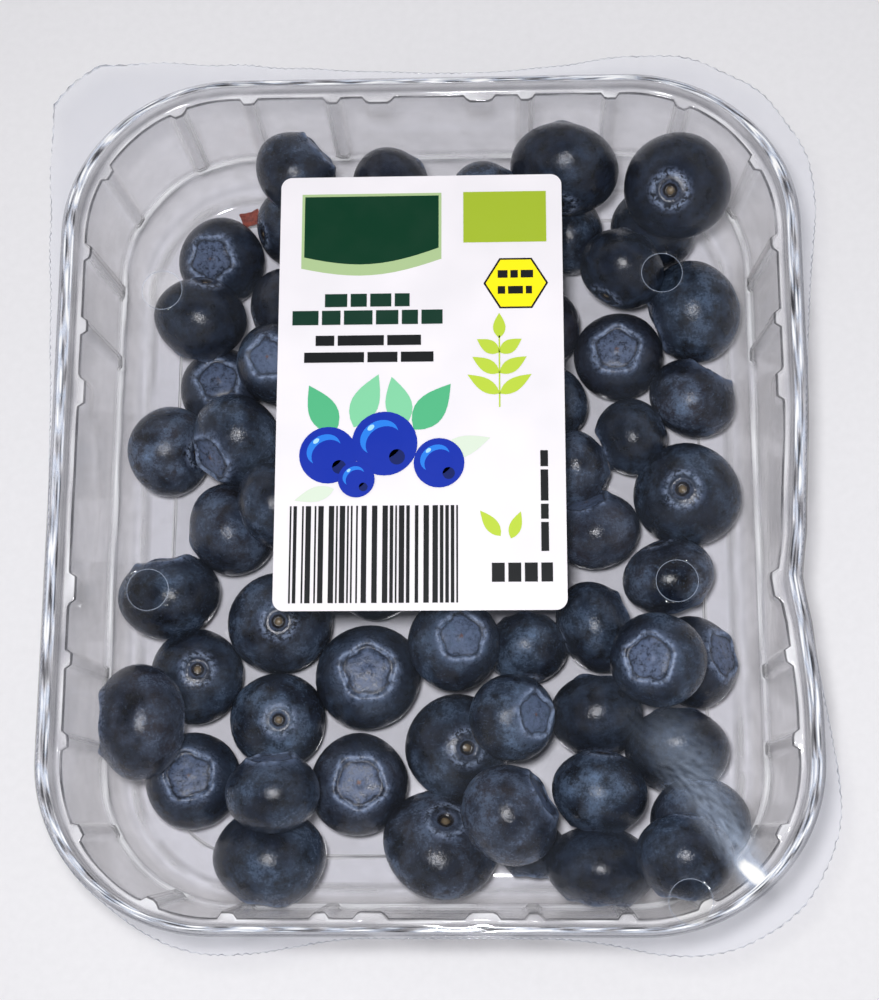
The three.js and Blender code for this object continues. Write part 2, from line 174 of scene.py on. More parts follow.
# Berries as the model has them: x, y, width, how far the crown leans from straight up, which way it
# leans (0 is +X), height over width where it isn't the usual one, and how far over the floor it is held
# where its neighbours and the wall hold it up.
USUAL_HEIGHT = 0.85
FLOOR_BERRIES = (
    (-25.4, 53, 14.5, 110, 20),
    (24, 51, 13.5, 90, 180),
    (38.5, 51.5, 15.5, 95, 60),
    (-38, 47, 15.5, 18, 233),
    (-15.5, 45.5, 14.5, 40, 60),
    (-1.5, 47.5, 16, 160, 60),
    (12.5, 44.5, 15.5, 90, 60),
    (-26, 37.5, 15, 95, 20),
    (45, 36, 17.8, 100, 200, 0.9),
    (20, 34, 13, 90, 180),
    (-11, 31.5, 16, 60, 160),
    (5, 30.5, 16.5, 30, 60),
    (32, 28.5, 15.5, 7, 201),
    (-37.5, 23.5, 14.5, 4, 45),
    (-19.5, 20, 14, 90, 60),
    (-4.5, 16, 15.5, 120, 90),
    (10, 14, 15, 70, 10),
    (44.5, 20.6, 15, 72, 58, 0.88),
    (34, 14, 13.5, 98, 200, 0.9),
    (21, 20.5, 12.5, 80, 200),
    (-46, 12, 15.5, 120, 170, 0.88),
    (24, 8.5, 13.5, 100, 20),
    (-34.5, -2, 16.5, 110, 200),
    (-16.5, 4.5, 15.5, 60, 200),
    (0.5, 0, 16, 100, 20),
    (27.5, -2.5, 15, 60, 110),
    (43, 3.5, 18, 168, 20),
    (14.5, -5.5, 14, 60, 110),
    (-45, -13.5, 17, 75, 100),
    (-9.5, -11, 15, 60, 110),
    (-26, -18, 17.5, 172, 120),
    (39.5, -10.5, 16, 108, 290, 0.78),
    (-11, -27.2, 17.7, 4, 17),
    (15.5, -22.5, 14, 100, 90),
    (27, -19, 15.5, 92, 20, 0.8),
    (43.5, -25, 15.5, 50, 12),
    (-40.2, -27, 16, 168, 197),
    (27, -34, 15.5, 100, 90, 0.88),
    (-26.3, -34.5, 16, 170, 156),
    (4, -39, 17.5, 165, 159),
    (-40.2, -44.5, 16, 7, 67),
    (40, -39.8, 17.6, 106, 90, 0.76),
    (-12.5, -45, 16.5, 6, 343),
    (1.2, -56.5, 19.4, 143, 256, 0.7),
    (16.3, -55.8, 11.5, 90, 265),
    (27, -60, 17.8, 95, 265, 0.72, 3),
    (-26.5, -58.3, 18.5, 100, 265, 0.85, 2),
)
UPPER_BERRIES = (
    (32.5, 42, 15, 95, 60),
    (-23.5, 60.5, 14.5, 75, 40, 0.9),
    (-7, 56, 15, 100, 40),
    (9.5, 53.5, 14, 100, 40),
    (22.5, 58.5, 18.5, 100, 80, 0.78),
    (42.2, 54.2, 17.9, 151, 62, 0.95),
    (-40.5, 34.5, 16, 125, 255, 0.88),
    (-26.5, 25.5, 14, 13, 212),
    (-33.5, 12.5, 16, 60, 225, 0.9),
    (-26.1, 0, 14.3, 90, 20),
    (3.5, -22.5, 15.5, 15, 22),
    (36.5, -26, 15.5, 20, 191),
    (-48.3, -35.5, 18.5, 78, 180, 0.8),
    (13, -35, 14.5, 43, 2, 0.88),
    (-25, -47, 15, 75, 90),
    (27, -46.5, 15.5, 108, 265),
    (12.5, -50.5, 16.5, 78, 30, 0.88),
    (43, -51.5, 16, 100, 265, 0.88),
    (41, -60.3, 15.2, 100, 265, 0.88),
)
# How the heap settles: how near two berries come, as a share of their reach, the step by which one is
# raised, its gap to the tray and its room under the flange. The tray's reach at rising heights.
HEAP_GIVE, HEAP_STEP, HEAP_CLEAR, HEAP_HEADROOM = 0.92, 0.1, 0.3, 2.5
WALL_HEIGHTS = (0.5, 1.9, 4.5, 12.0, 12.6, 33.4)
WALL_REACHES = (18.4, 20.2, 21.2, 21.8, 22.8, 24.0)

# The dry leaf scrap.
SCRAP_PLACE, SCRAP_TURN = (-33.4, 56.0, 6.0), 0.3
SCRAP_LONG, SCRAP_WIDE, SCRAP_CURL, SCRAP_RIPPLE, SCRAP_THICK = 1.7, 1.3, 0.5, 0.3, 0.15

# Half a berry's section for a berry one unit in radius, from the middle of the crown down to the
# middle of the stem scar. Between the two it follows a ball.
CROWN_PROFILE = (
    (0.0, 0.865),
    (0.04, 0.88),
    (0.075, 0.86),
    (0.2, 0.865),
    (0.33, 0.86),
    (0.41, 0.845),
    (0.45, 0.83),
    (0.475, 0.85),
    (0.505, 0.878),
    (0.545, 0.868),
    (0.585, 0.834),
    (0.64, 0.777),
)
SCAR_PROFILE = (
    (0.19, -0.975),
    (0.145, -0.955),
    (0.115, -0.92),
    (0.095, -0.90),
    (0.07, -0.905),
    (0.035, -0.925),
    (0.0, -0.925),
)
BALL_FROM, BALL_TO, BALL_STEPS = 46.0, 166.0, 15
BERRY_SEGMENTS = 40
FAR_FROM_POLE = 2.0
UNIT_MERGE = 1e-4
BERRY_SEED = 7

# The crown's lobes, on a berry one unit in radius: how many, how far from its axis they and its tilt
# reach, where the ring that they shape is and how wide, and how high they stand.
LOBES, CROWN_REACH, CROWN_RING, CROWN_RING_HALF, LOBE_LIFT = 5, 0.75, 0.5, 0.2, 0.02
SKIN_WAVES = 0.9
BERRY_VALUES = ("crown", "scar", "lobe", "purple", "bloom")

# The colours of the crown and of the stem scar, from the middle out.
CROWN_COLOURS = (
    (0.0, "#6e4a42"),
    (0.03, "#5f6270"),
    (0.06, "#5c6a86"),
    (0.38, "#55637e"),
    # A painted shade: this thin near-black line lies in the crown's groove.
    (0.43, "#1b1f2a"),
    (0.47, "#66758f"),
    (0.52, "#8b9ab5"),
    (0.57, "#62718c"),
    (0.68, "#3b475c"),
)
CROWN_SHARES = ((0.0, 1.0), (0.55, 0.95), (0.62, 0.45), (0.82, 0.0))
SCAR_COLOURS = (
    (0.0, "#7c6e58"),
    (0.055, "#62543f"),
    (0.085, "#120f10"),
    (0.125, "#191619"),
    (0.16, "#465064"),
    (0.24, "#2b3242"),
    (0.31, "#8795ad"),
    (0.38, "#566178"),
)


# Shared helpers


def linear(hex_colour):
    """An sRGB hex colour as linear values with alpha."""
    parts = [int(hex_colour[i : i + 2], 16) / 255 for i in (1, 3, 5)]
    return [c / 12.92 if c <= 0.04045 else ((c + 0.055) / 1.055) ** 2.4 for c in parts] + [1.0]


def interpolate(value, places, values):
    """The value at a place on a line through points in rising order."""
    if value <= places[0]:
        return values[0]
    for i in range(1, len(places)):
        if value <= places[i]:
            share = (value - places[i - 1]) / (places[i] - places[i - 1])
            return values[i - 1] + (values[i] - values[i - 1]) * share
    return values[-1]


def smooth_step(value, low, high):
    """0 below low, 1 above high and a smooth rise between them."""
    share = min(1.0, max(0.0, (value - low) / (high - low)))
    return share * share * (3 - 2 * share)


def ease_bump(distance, width):
    """1 at no distance, falling smoothly to 0 at the width."""
    if abs(distance) >= width:
        return 0.0
    return 0.5 * (1 + math.cos(math.pi * distance / width))


def plateau(distance, half, slope):
    """1 within half of the middle, and a smooth fall to 0 over the slope."""
    return 1 - smooth_step(abs(distance), half - slope / 2, half + slope / 2)


def add_node(tree, kind, inputs=(), stops=(), output=0, **settings):
    """Adds a node with its settings, its set or linked inputs by name or in order, and the stops of a
    colour ramp. Gives one of its outputs."""
    node = tree.nodes.new("ShaderNode" + kind)
    for name, value in settings.items():
        setattr(node, name, value)
    for name, value in inputs.items() if isinstance(inputs, dict) else enumerate(inputs):
        if isinstance(value, bpy.types.NodeSocket):
            tree.links.new(value, node.inputs[name])
        else:
            node.inputs[name].default_value = value
    if stops:
        elements = node.color_ramp.elements
        while len(elements) < len(stops):
            elements.new(0.5)
        for element, (position, colour) in zip(elements, stops):
            element.position = position
            element.color = colour
    return node.outputs[output] if node.outputs else None


def new_material(name):
    """A material with an empty node tree, and the function that adds nodes to it."""
    material = bpy.data.materials.new(name)
    material.use_nodes = True
    material.node_tree.nodes.clear()
    return material, partial(add_node, material.node_tree)


def of_size(add, size_mm, detail=4.0, roughness=0.55, distortion=0.0):
    """A noise's inputs for features of about the given size in millimetres."""
    return {
        "Vector": add("TexCoord", output="Object"),
        "Scale": 1 / (size_mm * MM),
        "Detail": detail,
        "Roughness": roughness,
        "Distortion": distortion,
    }


# A Mix node's settings for colours. Its inputs 6 and 7 are then the colours that it mixes.
COLOURS = {"data_type": "RGBA", "output": 2}


def make_piece(name, bm, materials, smooth=True):
    """Turns a bmesh in metres into an object that rides on the pack."""
    for face in bm.faces:
        face.smooth = smooth
    mesh = bpy.data.meshes.new(name)
    bm.to_mesh(mesh)
    bm.free()
    for material in materials:
        mesh.materials.append(material)
    piece = bpy.data.objects.new(name, mesh)
    bpy.context.scene.collection.objects.link(piece)
    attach(piece, BODY)
    return piece


def vertex_values(bm, name):
    """A layer that holds a value at each corner point, for a material to read."""
    return bm.verts.layers.float.get(name) or bm.verts.layers.float.new(name)


# Outlines of the tray and the film


class Station:
    """A place round the tray's outline: base point, way out and how far round it is, from 0 to 4."""

    STRAIGHT_SHARE = 0.6

    def __init__(self, side, along, degrees):
        turn = side * math.pi / 2
        out = (round(math.cos(turn)), round(math.sin(turn)))
        self.short = side % 2 == 1
        across, self.half = (CORNER_Y, CORNER_X) if self.short else (CORNER_X, CORNER_Y)
        self.base = (out[0] * across - out[1] * along, out[1] * across + out[0] * along)
        self.way = (math.cos(turn + math.radians(degrees)), math.sin(turn + math.radians(degrees)))
        self.along = along
        self.degrees = degrees
        straight = 0.5 + along / (2 * self.half)
        self.round = side + self.STRAIGHT_SHARE * straight + (1 - self.STRAIGHT_SHARE) * degrees / 90

    def point(self, reach_x, reach_y, z):
        x = self.base[0] + self.way[0] * reach_x
        y = self.base[1] + self.way[1] * reach_y
        return dented(x, y, z)

    def rib(self):
        """How much of a rib's depth stands in here."""
        if self.degrees:
            first, second = CORNER_RIB_LONG, CORNER_RIB_SHORT
            places = (90 - second, 90 - first) if self.short else (first, second)
            arc = math.radians(1) * SIDE_RADIUS
            return max(plateau((self.degrees - place) * arc, RIB_HALF, RIB_SLOPE) for place in places)
        ribs = SHORT_RIBS if self.short else LONG_RIBS
        return max(plateau(self.along - place, RIB_HALF, RIB_SLOPE) for place in ribs)

    def rib_edge(self):
        """How near the bends at a rib's sides are, 1 at a bend."""
        share = self.rib()
        return 4 * share * (1 - share)

    def lug(self):
        """How much of a denest lug's depth stands in here."""
        if self.degrees:
            return 0.0
        lugs = SHORT_LUGS if self.short else LONG_LUGS
        return max(plateau(self.along - place, LUG_HALF, LUG_SLOPE) for place in lugs)


def stations(spacing):
    """Stations round the outline, anticlockwise from the front of the right side."""
    found = []
    arc_steps = round(SIDE_RADIUS * math.pi / 2 / spacing)
    for side in range(4):
        half = CORNER_X if side % 2 else CORNER_Y
        steps = round(2 * half / spacing)
        found += [Station(side, half * (2 * i / steps - 1), 0) for i in range(steps)]
        found += [Station(side, half, 90 * i / arc_steps) for i in range(arc_steps)]
    return found


def dented(x, y, z):
    """Knocks in the right side, most at the rim, with a crease down its middle."""
    if x < CORNER_X:
        return Vector((x, y, z))
    off = y - DENT_AT
    high = smooth_step(z, DENT_FROM, RIM_Z)
    wide = ease_bump(off, DENT_BEHIND if off > 0 else DENT_AHEAD)
    crease = max(0.0, 1 - abs(off) / CREASE_WIDTH)
    return Vector((x - DENT_DEPTH * high * ((1 - CREASE_SHARE) * wide + CREASE_SHARE * crease), y, z))


def loft(rings, marks):
    """A capped skin through rings of points, each a list in the order of the stations, with how much painted
    shade, and how much haze and painted highlight, the plastic has at each point."""
    bm = bmesh.new()
    order = bm.verts.layers.int.new("station")
    bm.verts.layers.float.new("painted_shade")
    bm.verts.layers.float.new("haze_and_highlight")
    made = bmesh.ops.create_circle(bm, cap_ends=True, segments=len(rings[0]), radius=1.0)
    verts = sorted(made["verts"], key=lambda v: math.atan2(v.co.y, v.co.x) % (2 * math.pi))
    for i, vert in enumerate(verts):
        vert[order] = i
    edges = bm.edges[:]
    for n, (ring, mark) in enumerate(zip(rings, marks)):
        if n:
            made = bmesh.ops.extrude_edge_only(bm, edges=edges)["geom"]
            edges = [item for item in made if isinstance(item, bmesh.types.BMEdge)]
            verts = [item for item in made if isinstance(item, bmesh.types.BMVert)]
        painted_shade, haze_and_highlight = bm.verts.layers.float["painted_shade"], bm.verts.layers.float["haze_and_highlight"]
        for vert in verts:
            vert.co = ring[vert[order]]
            vert[painted_shade], vert[haze_and_highlight] = mark[vert[order]]
    bmesh.ops.remove_doubles(bm, verts=bm.verts, dist=MERGE)
    return bm


# Berries


def reach_of(berry, unit):
    """How far a berry reaches from its middle along a unit vector."""
    c = berry["crown"].dot(unit)
    return berry["half"] * math.sqrt(max(0.0, 1 - c * c + (berry["height"] * c) ** 2))


def keep_inside(berry):
    """Puts a berry at its place, drawn in from the tray's wall as far as its height needs."""
    x, y, z = *berry["place"], berry["middle"].z
    base = Vector((min(max(x, -CORNER_X), CORNER_X), min(max(y, -CORNER_Y), CORNER_Y), z))
    out = Vector((x, y, z)) - base
    distance = out.length
    if distance == 0:
        return
    out /= distance
    most = interpolate(z, WALL_HEIGHTS, WALL_REACHES) - HEAP_CLEAR - reach_of(berry, out)
    berry["middle"] = base + out * min(distance, most)


def berry_on_floor(row):
    """A berry that lies on the floor where its row puts it."""
    x, y, width, lean, turn, height, lift = (*row, *(USUAL_HEIGHT, 0)[len(row) - 5 :])
    lean, turn = math.radians(lean), math.radians(turn)
    berry = {
        "place": (x, y),
        "half": width / 2,
        "height": height,
        "crown": Vector((math.sin(lean) * math.cos(turn), math.sin(lean) * math.sin(turn), math.cos(lean))),
    }
    z = FLOOR_Z + HEAP_CLEAR + lift + reach_of(berry, Vector((0, 0, 1)))
    berry["middle"] = Vector((x, y, z))
    keep_inside(berry)
    return berry


def touches(berry, other):
    """Whether two berries press into each other by more than they give."""
    apart = berry["middle"] - other["middle"]
    if apart.length > berry["half"] + other["half"]:
        return False
    unit = apart.normalized()
    return apart.length < HEAP_GIVE * (reach_of(berry, unit) + reach_of(other, unit))


def heap():
    """The floor berries, and the upper berries raised until they lie on those before them."""
    placed = [berry_on_floor(row) for row in FLOOR_BERRIES]
    up = Vector((0, 0, 1))
    for row in UPPER_BERRIES:
        berry = berry_on_floor(row)
        highest = SEAL_Z - HEAP_HEADROOM - reach_of(berry, up)
        while berry["middle"].z < highest and any(touches(berry, other) for other in placed):
            berry["middle"].z += HEAP_STEP
            keep_inside(berry)
        placed.append(berry)
    return placed


def base_berry():
    """One berry with crown and stem scar, a unit in radius, spun from its half section."""
    ball = []
    for i in range(BALL_STEPS + 1):
        angle = math.radians(BALL_FROM + (BALL_TO - BALL_FROM) * i / BALL_STEPS)
        ball.append((math.sin(angle), math.cos(angle)))
    section = [*CROWN_PROFILE, *ball, *SCAR_PROFILE]
    bm = bmesh.new()
    verts = [bm.verts.new((radius, 0, z)) for radius, z in section]
    edges = [bm.edges.new(pair) for pair in zip(verts, verts[1:])]
    bmesh.ops.spin(
        bm,
        geom=verts + edges,
        cent=(0, 0, 0),
        axis=(0, 0, 1),
        angle=2 * math.pi,
        steps=BERRY_SEGMENTS,
        use_merge=True,
    )
    bmesh.ops.remove_doubles(bm, verts=bm.verts, dist=UNIT_MERGE)
    bmesh.ops.recalc_face_normals(bm, faces=bm.faces)
    mesh = bpy.data.meshes.new("base_berry")
    bm.to_mesh(mesh)
    bm.free()
    return mesh


def shape_berry(co, berry, lumps):
    """A point of the base berry with this berry's lobed crown and uneven skin."""
    settings = bpy.context.scene.punnet_berries
    radius = math.hypot(co.x, co.y)
    round_by = math.atan2(co.y, co.x)
    point = co.copy()
    if co.z > 0 and radius < CROWN_REACH:
        near = ease_bump(radius - CROWN_RING, CROWN_RING_HALF)
        phase = lumps["phase"]
        lobe = math.cos(LOBES * round_by + phase) + 0.4 * math.sin(3 * round_by + phase * 2)
        wide = 1 + settings.crown_lobes * near * lobe
        point.x *= wide
        point.y *= wide
        point.z += LOBE_LIFT * near * lobe
        point.z += lumps["crown_tilt"] * point.x * ease_bump(radius, CROWN_REACH)
    uneven = noise.noise(co * SKIN_WAVES + lumps["offset"]) * settings.unevenness
    point *= 1 + uneven + lumps["oval"] * math.cos(2 * round_by) * (1 - abs(co.z))
    point.z *= berry["height"]
    return point * berry["half"]


def berries_mesh(berries, base, look):
    """All the given berries as one bmesh, in metres, with the values that the skin reads."""
    bm = bmesh.new()
    layers = {name: vertex_values(bm, name) for name in BERRY_VALUES}
    for berry in berries:
        start = len(bm.verts)
        bm.from_mesh(base)
        bm.verts.ensure_lookup_table()
        lumps = {
            "phase": look.uniform(0, 2 * math.pi),
            "offset": Vector((look.uniform(0, 50), look.uniform(0, 50), look.uniform(0, 50))),
            "oval": look.uniform(-0.022, 0.022),
            "crown_tilt": look.uniform(-0.06, 0.06),
        }
        values = {"purple": look.random(), "bloom": look.random()}
        turn = berry["crown"].to_track_quat("Z", "Y").to_matrix()
        spun = turn @ Matrix.Rotation(look.uniform(0, 2 * math.pi), 3, "Z")
        for i in range(start, len(bm.verts)):
            vert = bm.verts[i]
            co = vert.co.copy()
            radius = math.hypot(co.x, co.y)
            vert[layers["crown"]] = radius if co.z > 0 else FAR_FROM_POLE - radius
            vert[layers["scar"]] = radius if co.z < 0 else FAR_FROM_POLE - radius
            vert[layers["lobe"]] = math.cos(LOBES * math.atan2(co.y, co.x) + lumps["phase"])
            for name, value in values.items():
                vert[layers[name]] = value
            vert.co = TO_METRES @ (berry["middle"] + spun @ shape_berry(co, berry, lumps))
    return bm


def blueberry_skin():
    """Ripe blueberry: near-black blue skin, glossy where rubbed, under a pale waxy bloom that is
    thick round the crown and worn off in patches."""
    settings = bpy.context.scene.punnet_berries
    material, add = new_material("blueberry skin with waxy bloom")
    values = [add("Attribute", output="Fac", attribute_name=name) for name in BERRY_VALUES]
    crown, stem, lobe, purple, bloom = values
    patches = add("TexNoise", of_size(add, 7.0, detail=3.0, roughness=0.5))
    clouds = add("TexNoise", of_size(add, 2.4, roughness=0.65))
    specks = add("TexNoise", of_size(add, 0.45, detail=2.5, roughness=0.75))
    scratches = add("TexNoise", of_size(add, 1.7, roughness=0.7, distortion=3.5))
    crumbs = add("TexNoise", of_size(add, 0.8, detail=3.0, roughness=0.75))

    # Near-black skin, blue in clouds and brown in patches on the redder berries.
    blue = add("MapRange", (clouds, 0.35, 0.7))
    skin = add("Mix", {0: blue, 6: linear("#0f1116"), 7: [*settings.skin, 1.0]}, **COLOURS)
    brown = add("MapRange", (purple, 0.5, 1.0, 0.0, 0.8))
    brown = add("Math", (brown, add("MapRange", (patches, 0.4, 0.6))), operation="MULTIPLY")
    skin = add("Mix", {0: brown, 6: skin, 7: linear("#2a2022")}, **COLOURS)

    # Bloom, in patches that are worn to specks, and scratched into the skin between them.
    amount = add("MapRange", (bloom, 0.0, 1.0, 0.04, 0.66))
    cover = add("MapRange", (patches, 0.42, 0.66))
    worn = add("MapRange", (specks, 0.32, 0.6, 0.35, 1.0))
    for share in (add("MapRange", (clouds, 0.36, 0.6, 0.15, 1.0)), amount, worn):
        cover = add("Math", (cover, share), operation="MULTIPLY")
    scraped = add("MapRange", (scratches, 0.56, 0.66))
    scraped = add("Math", (scraped, add("MapRange", (specks, 0.4, 0.6, 0.0, 0.4))), operation="MULTIPLY")
    bloomed = add("Math", (scraped, amount, cover), operation="MULTIPLY_ADD")
    skin = add("Mix", {0: bloomed, 6: skin, 7: [*settings.bloom, 1.0]}, **COLOURS)

    # The crown, with an uneven edge that follows its lobes.
    wobble = add("Math", (crown, add("MapRange", (clouds, 0.3, 0.7, -0.05, 0.05))), operation="ADD")
    wobble = add("Math", (lobe, -0.016, wobble), operation="MULTIPLY_ADD")
    # The crown's ring of colours holds a painted shade, the near-black line in its groove.
    ring = add("ValToRGB", (wobble,), [(place, linear(colour)) for place, colour in CROWN_COLOURS])
    ring_share = add("ValToRGB", (wobble,), [(place, (grey, grey, grey, 1)) for place, grey in CROWN_SHARES])
    broken = add("MapRange", (crumbs, 0.34, 0.58, 0.15, 1.0))
    ring_amount = add("Math", (ring_share, broken), operation="MULTIPLY")
    skin = add("Mix", {0: ring_amount, 6: skin, 7: ring}, **COLOURS)
    notch = add("MapRange", (lobe, 0.75, 1.0, 0.0, 0.75))
    for edge in ((0.4, 0.47), (0.6, 0.54)):
        notch = add("Math", (notch, add("MapRange", (wobble, *edge))), operation="MULTIPLY")
    skin = add("Mix", {0: notch, 6: skin, 7: linear("#1d222e")}, **COLOURS)

    # The stem scar.
    place = add("Math", (stem, add("MapRange", (specks, 0.3, 0.7, -0.012, 0.012))), operation="ADD")
    scar = add("ValToRGB", (place,), [(at, linear(colour)) for at, colour in SCAR_COLOURS])
    pit = add("MapRange", (place, 0.15, 0.17, 1.0, 0.0))
    halo = add("MapRange", (place, 0.36, 0.46, 0.8, 0.0))
    scar_share = add("Math", (halo, add("MapRange", (broken, 0.45, 0.9)), pit), operation="MULTIPLY_ADD")
    skin = add("Mix", {0: scar_share, 6: skin, 7: scar}, **COLOURS)

    waxy = add("Math", (ring_amount, 0.4, cover), operation="MULTIPLY_ADD")
    relief = add("Math", (specks, patches), operation="ADD")
    inputs = {
        "Base Color": skin,
        "Roughness": add("MapRange", (waxy, 0.0, 0.6, 0.2, 0.5)),
        "IOR": 1.42,
        "Specular IOR Level": 0.42,
        "Normal": add("Bump", {"Height": relief, "Distance": 0.1 * MM, "Strength": 0.7}),
    }
    add("OutputMaterial", (add("BsdfPrincipled", inputs),))
    return material


# Clear plastics


def clear_plastic(name, colours, haze, gloss_roughness):
    """A clear sheet: light goes through, dimmer where it is seen edge on, with a gloss on top and a faint
    milky haze in it. Painted shade darkens the light through it along marked lines, and painted highlights,
    carried with the haze, turn it white where they are strong. The colours are those square on, edge on and
    of the haze. The haze has the size of its patches in millimetres, its least and most, and what a slant
    adds."""
    material, add = new_material(name)
    square_on, edge_on, milky = [[*colour[:3], 1.0] for colour in colours]
    size_mm, low, high, slant_milk = haze
    white = linear("#ffffff")
    painted_shade, haze_and_highlight = (add("Attribute", output="Fac", attribute_name=value) for value in ("painted_shade", "haze_and_highlight"))
    slant = add("LayerWeight", {"Blend": 0.5}, output="Facing")
    slanted = add("MapRange", (slant, 0.4, 1.0))
    passed = add("Mix", {0: slanted, 6: square_on, 7: edge_on}, **COLOURS)
    # Painted shade: marked lines turn the light through towards a dark grey.
    bend = add("MapRange", (painted_shade, 0.0, 1.0, 0.0, 0.8))
    passed = add("Mix", {0: bend, 6: passed, 7: linear("#4a4b50")}, **COLOURS)
    # Painted highlight: where the marks are strong, the haze turns white.
    painted_highlight = add("MapRange", (haze_and_highlight, 0.25, 0.7))
    haze_and_highlight_colour = add("Mix", {0: painted_highlight, 6: milky, 7: white}, **COLOURS)
    scuffs = add("TexNoise", of_size(add, size_mm, detail=0.0))
    scuffs = add("MapRange", (scuffs, 0.35, 0.7, low, high))
    scuffs = add("Math", (slanted, slant_milk, scuffs), operation="MULTIPLY_ADD")
    haze_and_highlight_share = add("Math", (haze_and_highlight, 0.75, scuffs), operation="MULTIPLY_ADD")
    clear, haze_and_highlight_bsdf = add("BsdfTransparent", (passed,)), add("BsdfDiffuse", (haze_and_highlight_colour,))
    gloss = add("BsdfAnisotropic", {"Color": white, "Roughness": gloss_roughness})
    hazed = add("MixShader", (haze_and_highlight_share, clear, haze_and_highlight_bsdf))
    glancing = add("Math", (slant, 5.0), operation="POWER")
    mirror = add("MapRange", (glancing, 0.0, 1.0, 0.02, 0.4))
    add("OutputMaterial", (add("MixShader", (mirror, hazed, gloss)),))
    return material


def tray_plastic():
    """Thermoformed clear polyester: glassy, a little grey through its thickness, with faint scuffs."""
    settings = bpy.context.scene.punnet_tray
    colours = (settings.tint, settings.edge_tint, linear("#fbf9f8"))
    return clear_plastic("thermoformed clear polyester", colours, (3.0, 0.005, 0.05, 0.06), 0.08)


def film_plastic():
    """Laminated sealing film: thin and clear, with a bluish-white haze, whose colour also tints the painted
    reflection along its crease.
    """
    settings = bpy.context.scene.punnet_film
    colours = (settings.tint, linear("#e2e5ea"), settings.haze_colour)
    return clear_plastic("laminated sealing film", colours, (9.0, 0.001, 0.006, 0.04), 0.05)


def reach_y_of(reach_x):
    """The reach along Y that goes with one along X."""
    if reach_x <= REACH_X[0]:
        return reach_x
    return interpolate(reach_x, REACH_X, REACH_Y)


def tray_rings(places):
    """The tray's outlines from the floor to the lip, and how much painted shade and painted highlight each
    point has.
    """
    settings = bpy.context.scene.punnet_tray
    foot, top = PANEL_FOOT, PANEL_TOP
    steps = [i / PANEL_STEPS for i in range(PANEL_STEPS + 1)]
    panel = [(foot[0] + (top[0] - foot[0]) * i, foot[1] + (top[1] - foot[1]) * i, 0.0, 0.0) for i in steps]
    ribs = [(place.rib(), place.rib_edge(), place.lug()) for place in places]
    rings, marks = [], []
    for reach, z, painted_shade, haze_and_highlight in [*FOOT_PROFILE, *SIDE_PROFILE, *panel, *RIM_PROFILE]:
        rib_height = smooth_step(z, RIB_FOOT, RIB_FOOT + RIB_FADE)
        lug_height = smooth_step(z, LUG_FOOT, LUG_FULL)
        if reach > RIM_PROFILE[3][0]:
            rib_height = lug_height = 0.0
        rib_depth, lug_depth = settings.rib_depth / MM * rib_height, settings.lug_depth / MM * lug_height
        ring, mark = [], []
        for place, (rib, edge, lug) in zip(places, ribs):
            inset = rib * rib_depth + lug * lug_depth + panel_bead(place, z) * settings.bead_depth / MM
            ring.append(place.point(reach - inset, reach_y_of(reach) - inset, z))
            # Painted shade and painted highlight: lines at the bends, broken up in patches, a darker strip on
            # each rib's side, bright lines along the rib edges and bright spots at the rib feet.
            broken = noise.noise(Vector((place.round * LINE_ROUND, reach * LINE_REACH, 1)))
            patchy = LINE_SHARE + LINE_SPREAD * broken
            on_side = rib_height if z < RIM_Z - 0.6 else 0.0
            shade = painted_shade * min(1.0, max(LEAST_DARK, patchy + 0.45)) + RIB_SHADE * rib * on_side
            rib_foot = rib * ease_bump(z - RIB_FOOT - RIB_FADE / 2, RIB_FADE)
            painted_highlight = RIB_EDGE_HIGHLIGHT * edge * on_side + RIB_FOOT_HIGHLIGHT * rib_foot
            mark.append((shade, haze_and_highlight * max(0.0, patchy) + painted_highlight))
        rings.append(ring)
        marks.append(mark)
    return rings, marks


def panel_bead(place, z):
    """A stiffening bead along the middle panel of each side, bowed on the long sides."""
    if place.degrees or abs(place.along) > BEAD_PANEL:
        return 0.0
    bow = 0.0 if place.short else BEAD_BOW * (place.along / BEAD_PANEL) ** 2
    ends = 1 - smooth_step(abs(place.along), BEAD_PANEL - 2, BEAD_PANEL)
    return ease_bump(z - BEAD_Z - bow, BEAD_HALF * 2) * ends


def flap_edge(place):
    """The film's cut edge at a station: reach along X and Y, and height over the flange."""
    over, z, corner = 0.0, FLAP_SAG, 1.0
    for at, wide, reach, droop, ripple, square in FLAPS:
        size = ease_bump((place.round - at + 2) % 4 - 2, wide)
        over += reach * size
        z += size * (droop - FLAP_SAG + ripple * math.sin(FLAP_RIPPLES * 2 * math.pi * place.round))
        if size > 0 and square > 1:
            corner = min(square, 1 / max(abs(place.way[0]), abs(place.way[1])))
    seal_x, seal_y = SEAL_OUT, reach_y_of(SEAL_OUT)
    return (seal_x + FLAP_MARGIN_X + over) * corner, (seal_y + FLAP_MARGIN_Y + over) * corner, z


# The film over the tray's opening: rings from its middle out to the sealing face, first as shares of
# the rectangle of the corner centres and then as distances in from the sealing face.
FILM_SHARES = (0.1, 0.25, 0.4, 0.52, 0.64, 0.76, 0.88)
FILM_INWARD = tuple(SEAL_IN * (1 - i / 28) for i in range(1, 29))
FILM_LIFT = 0.16

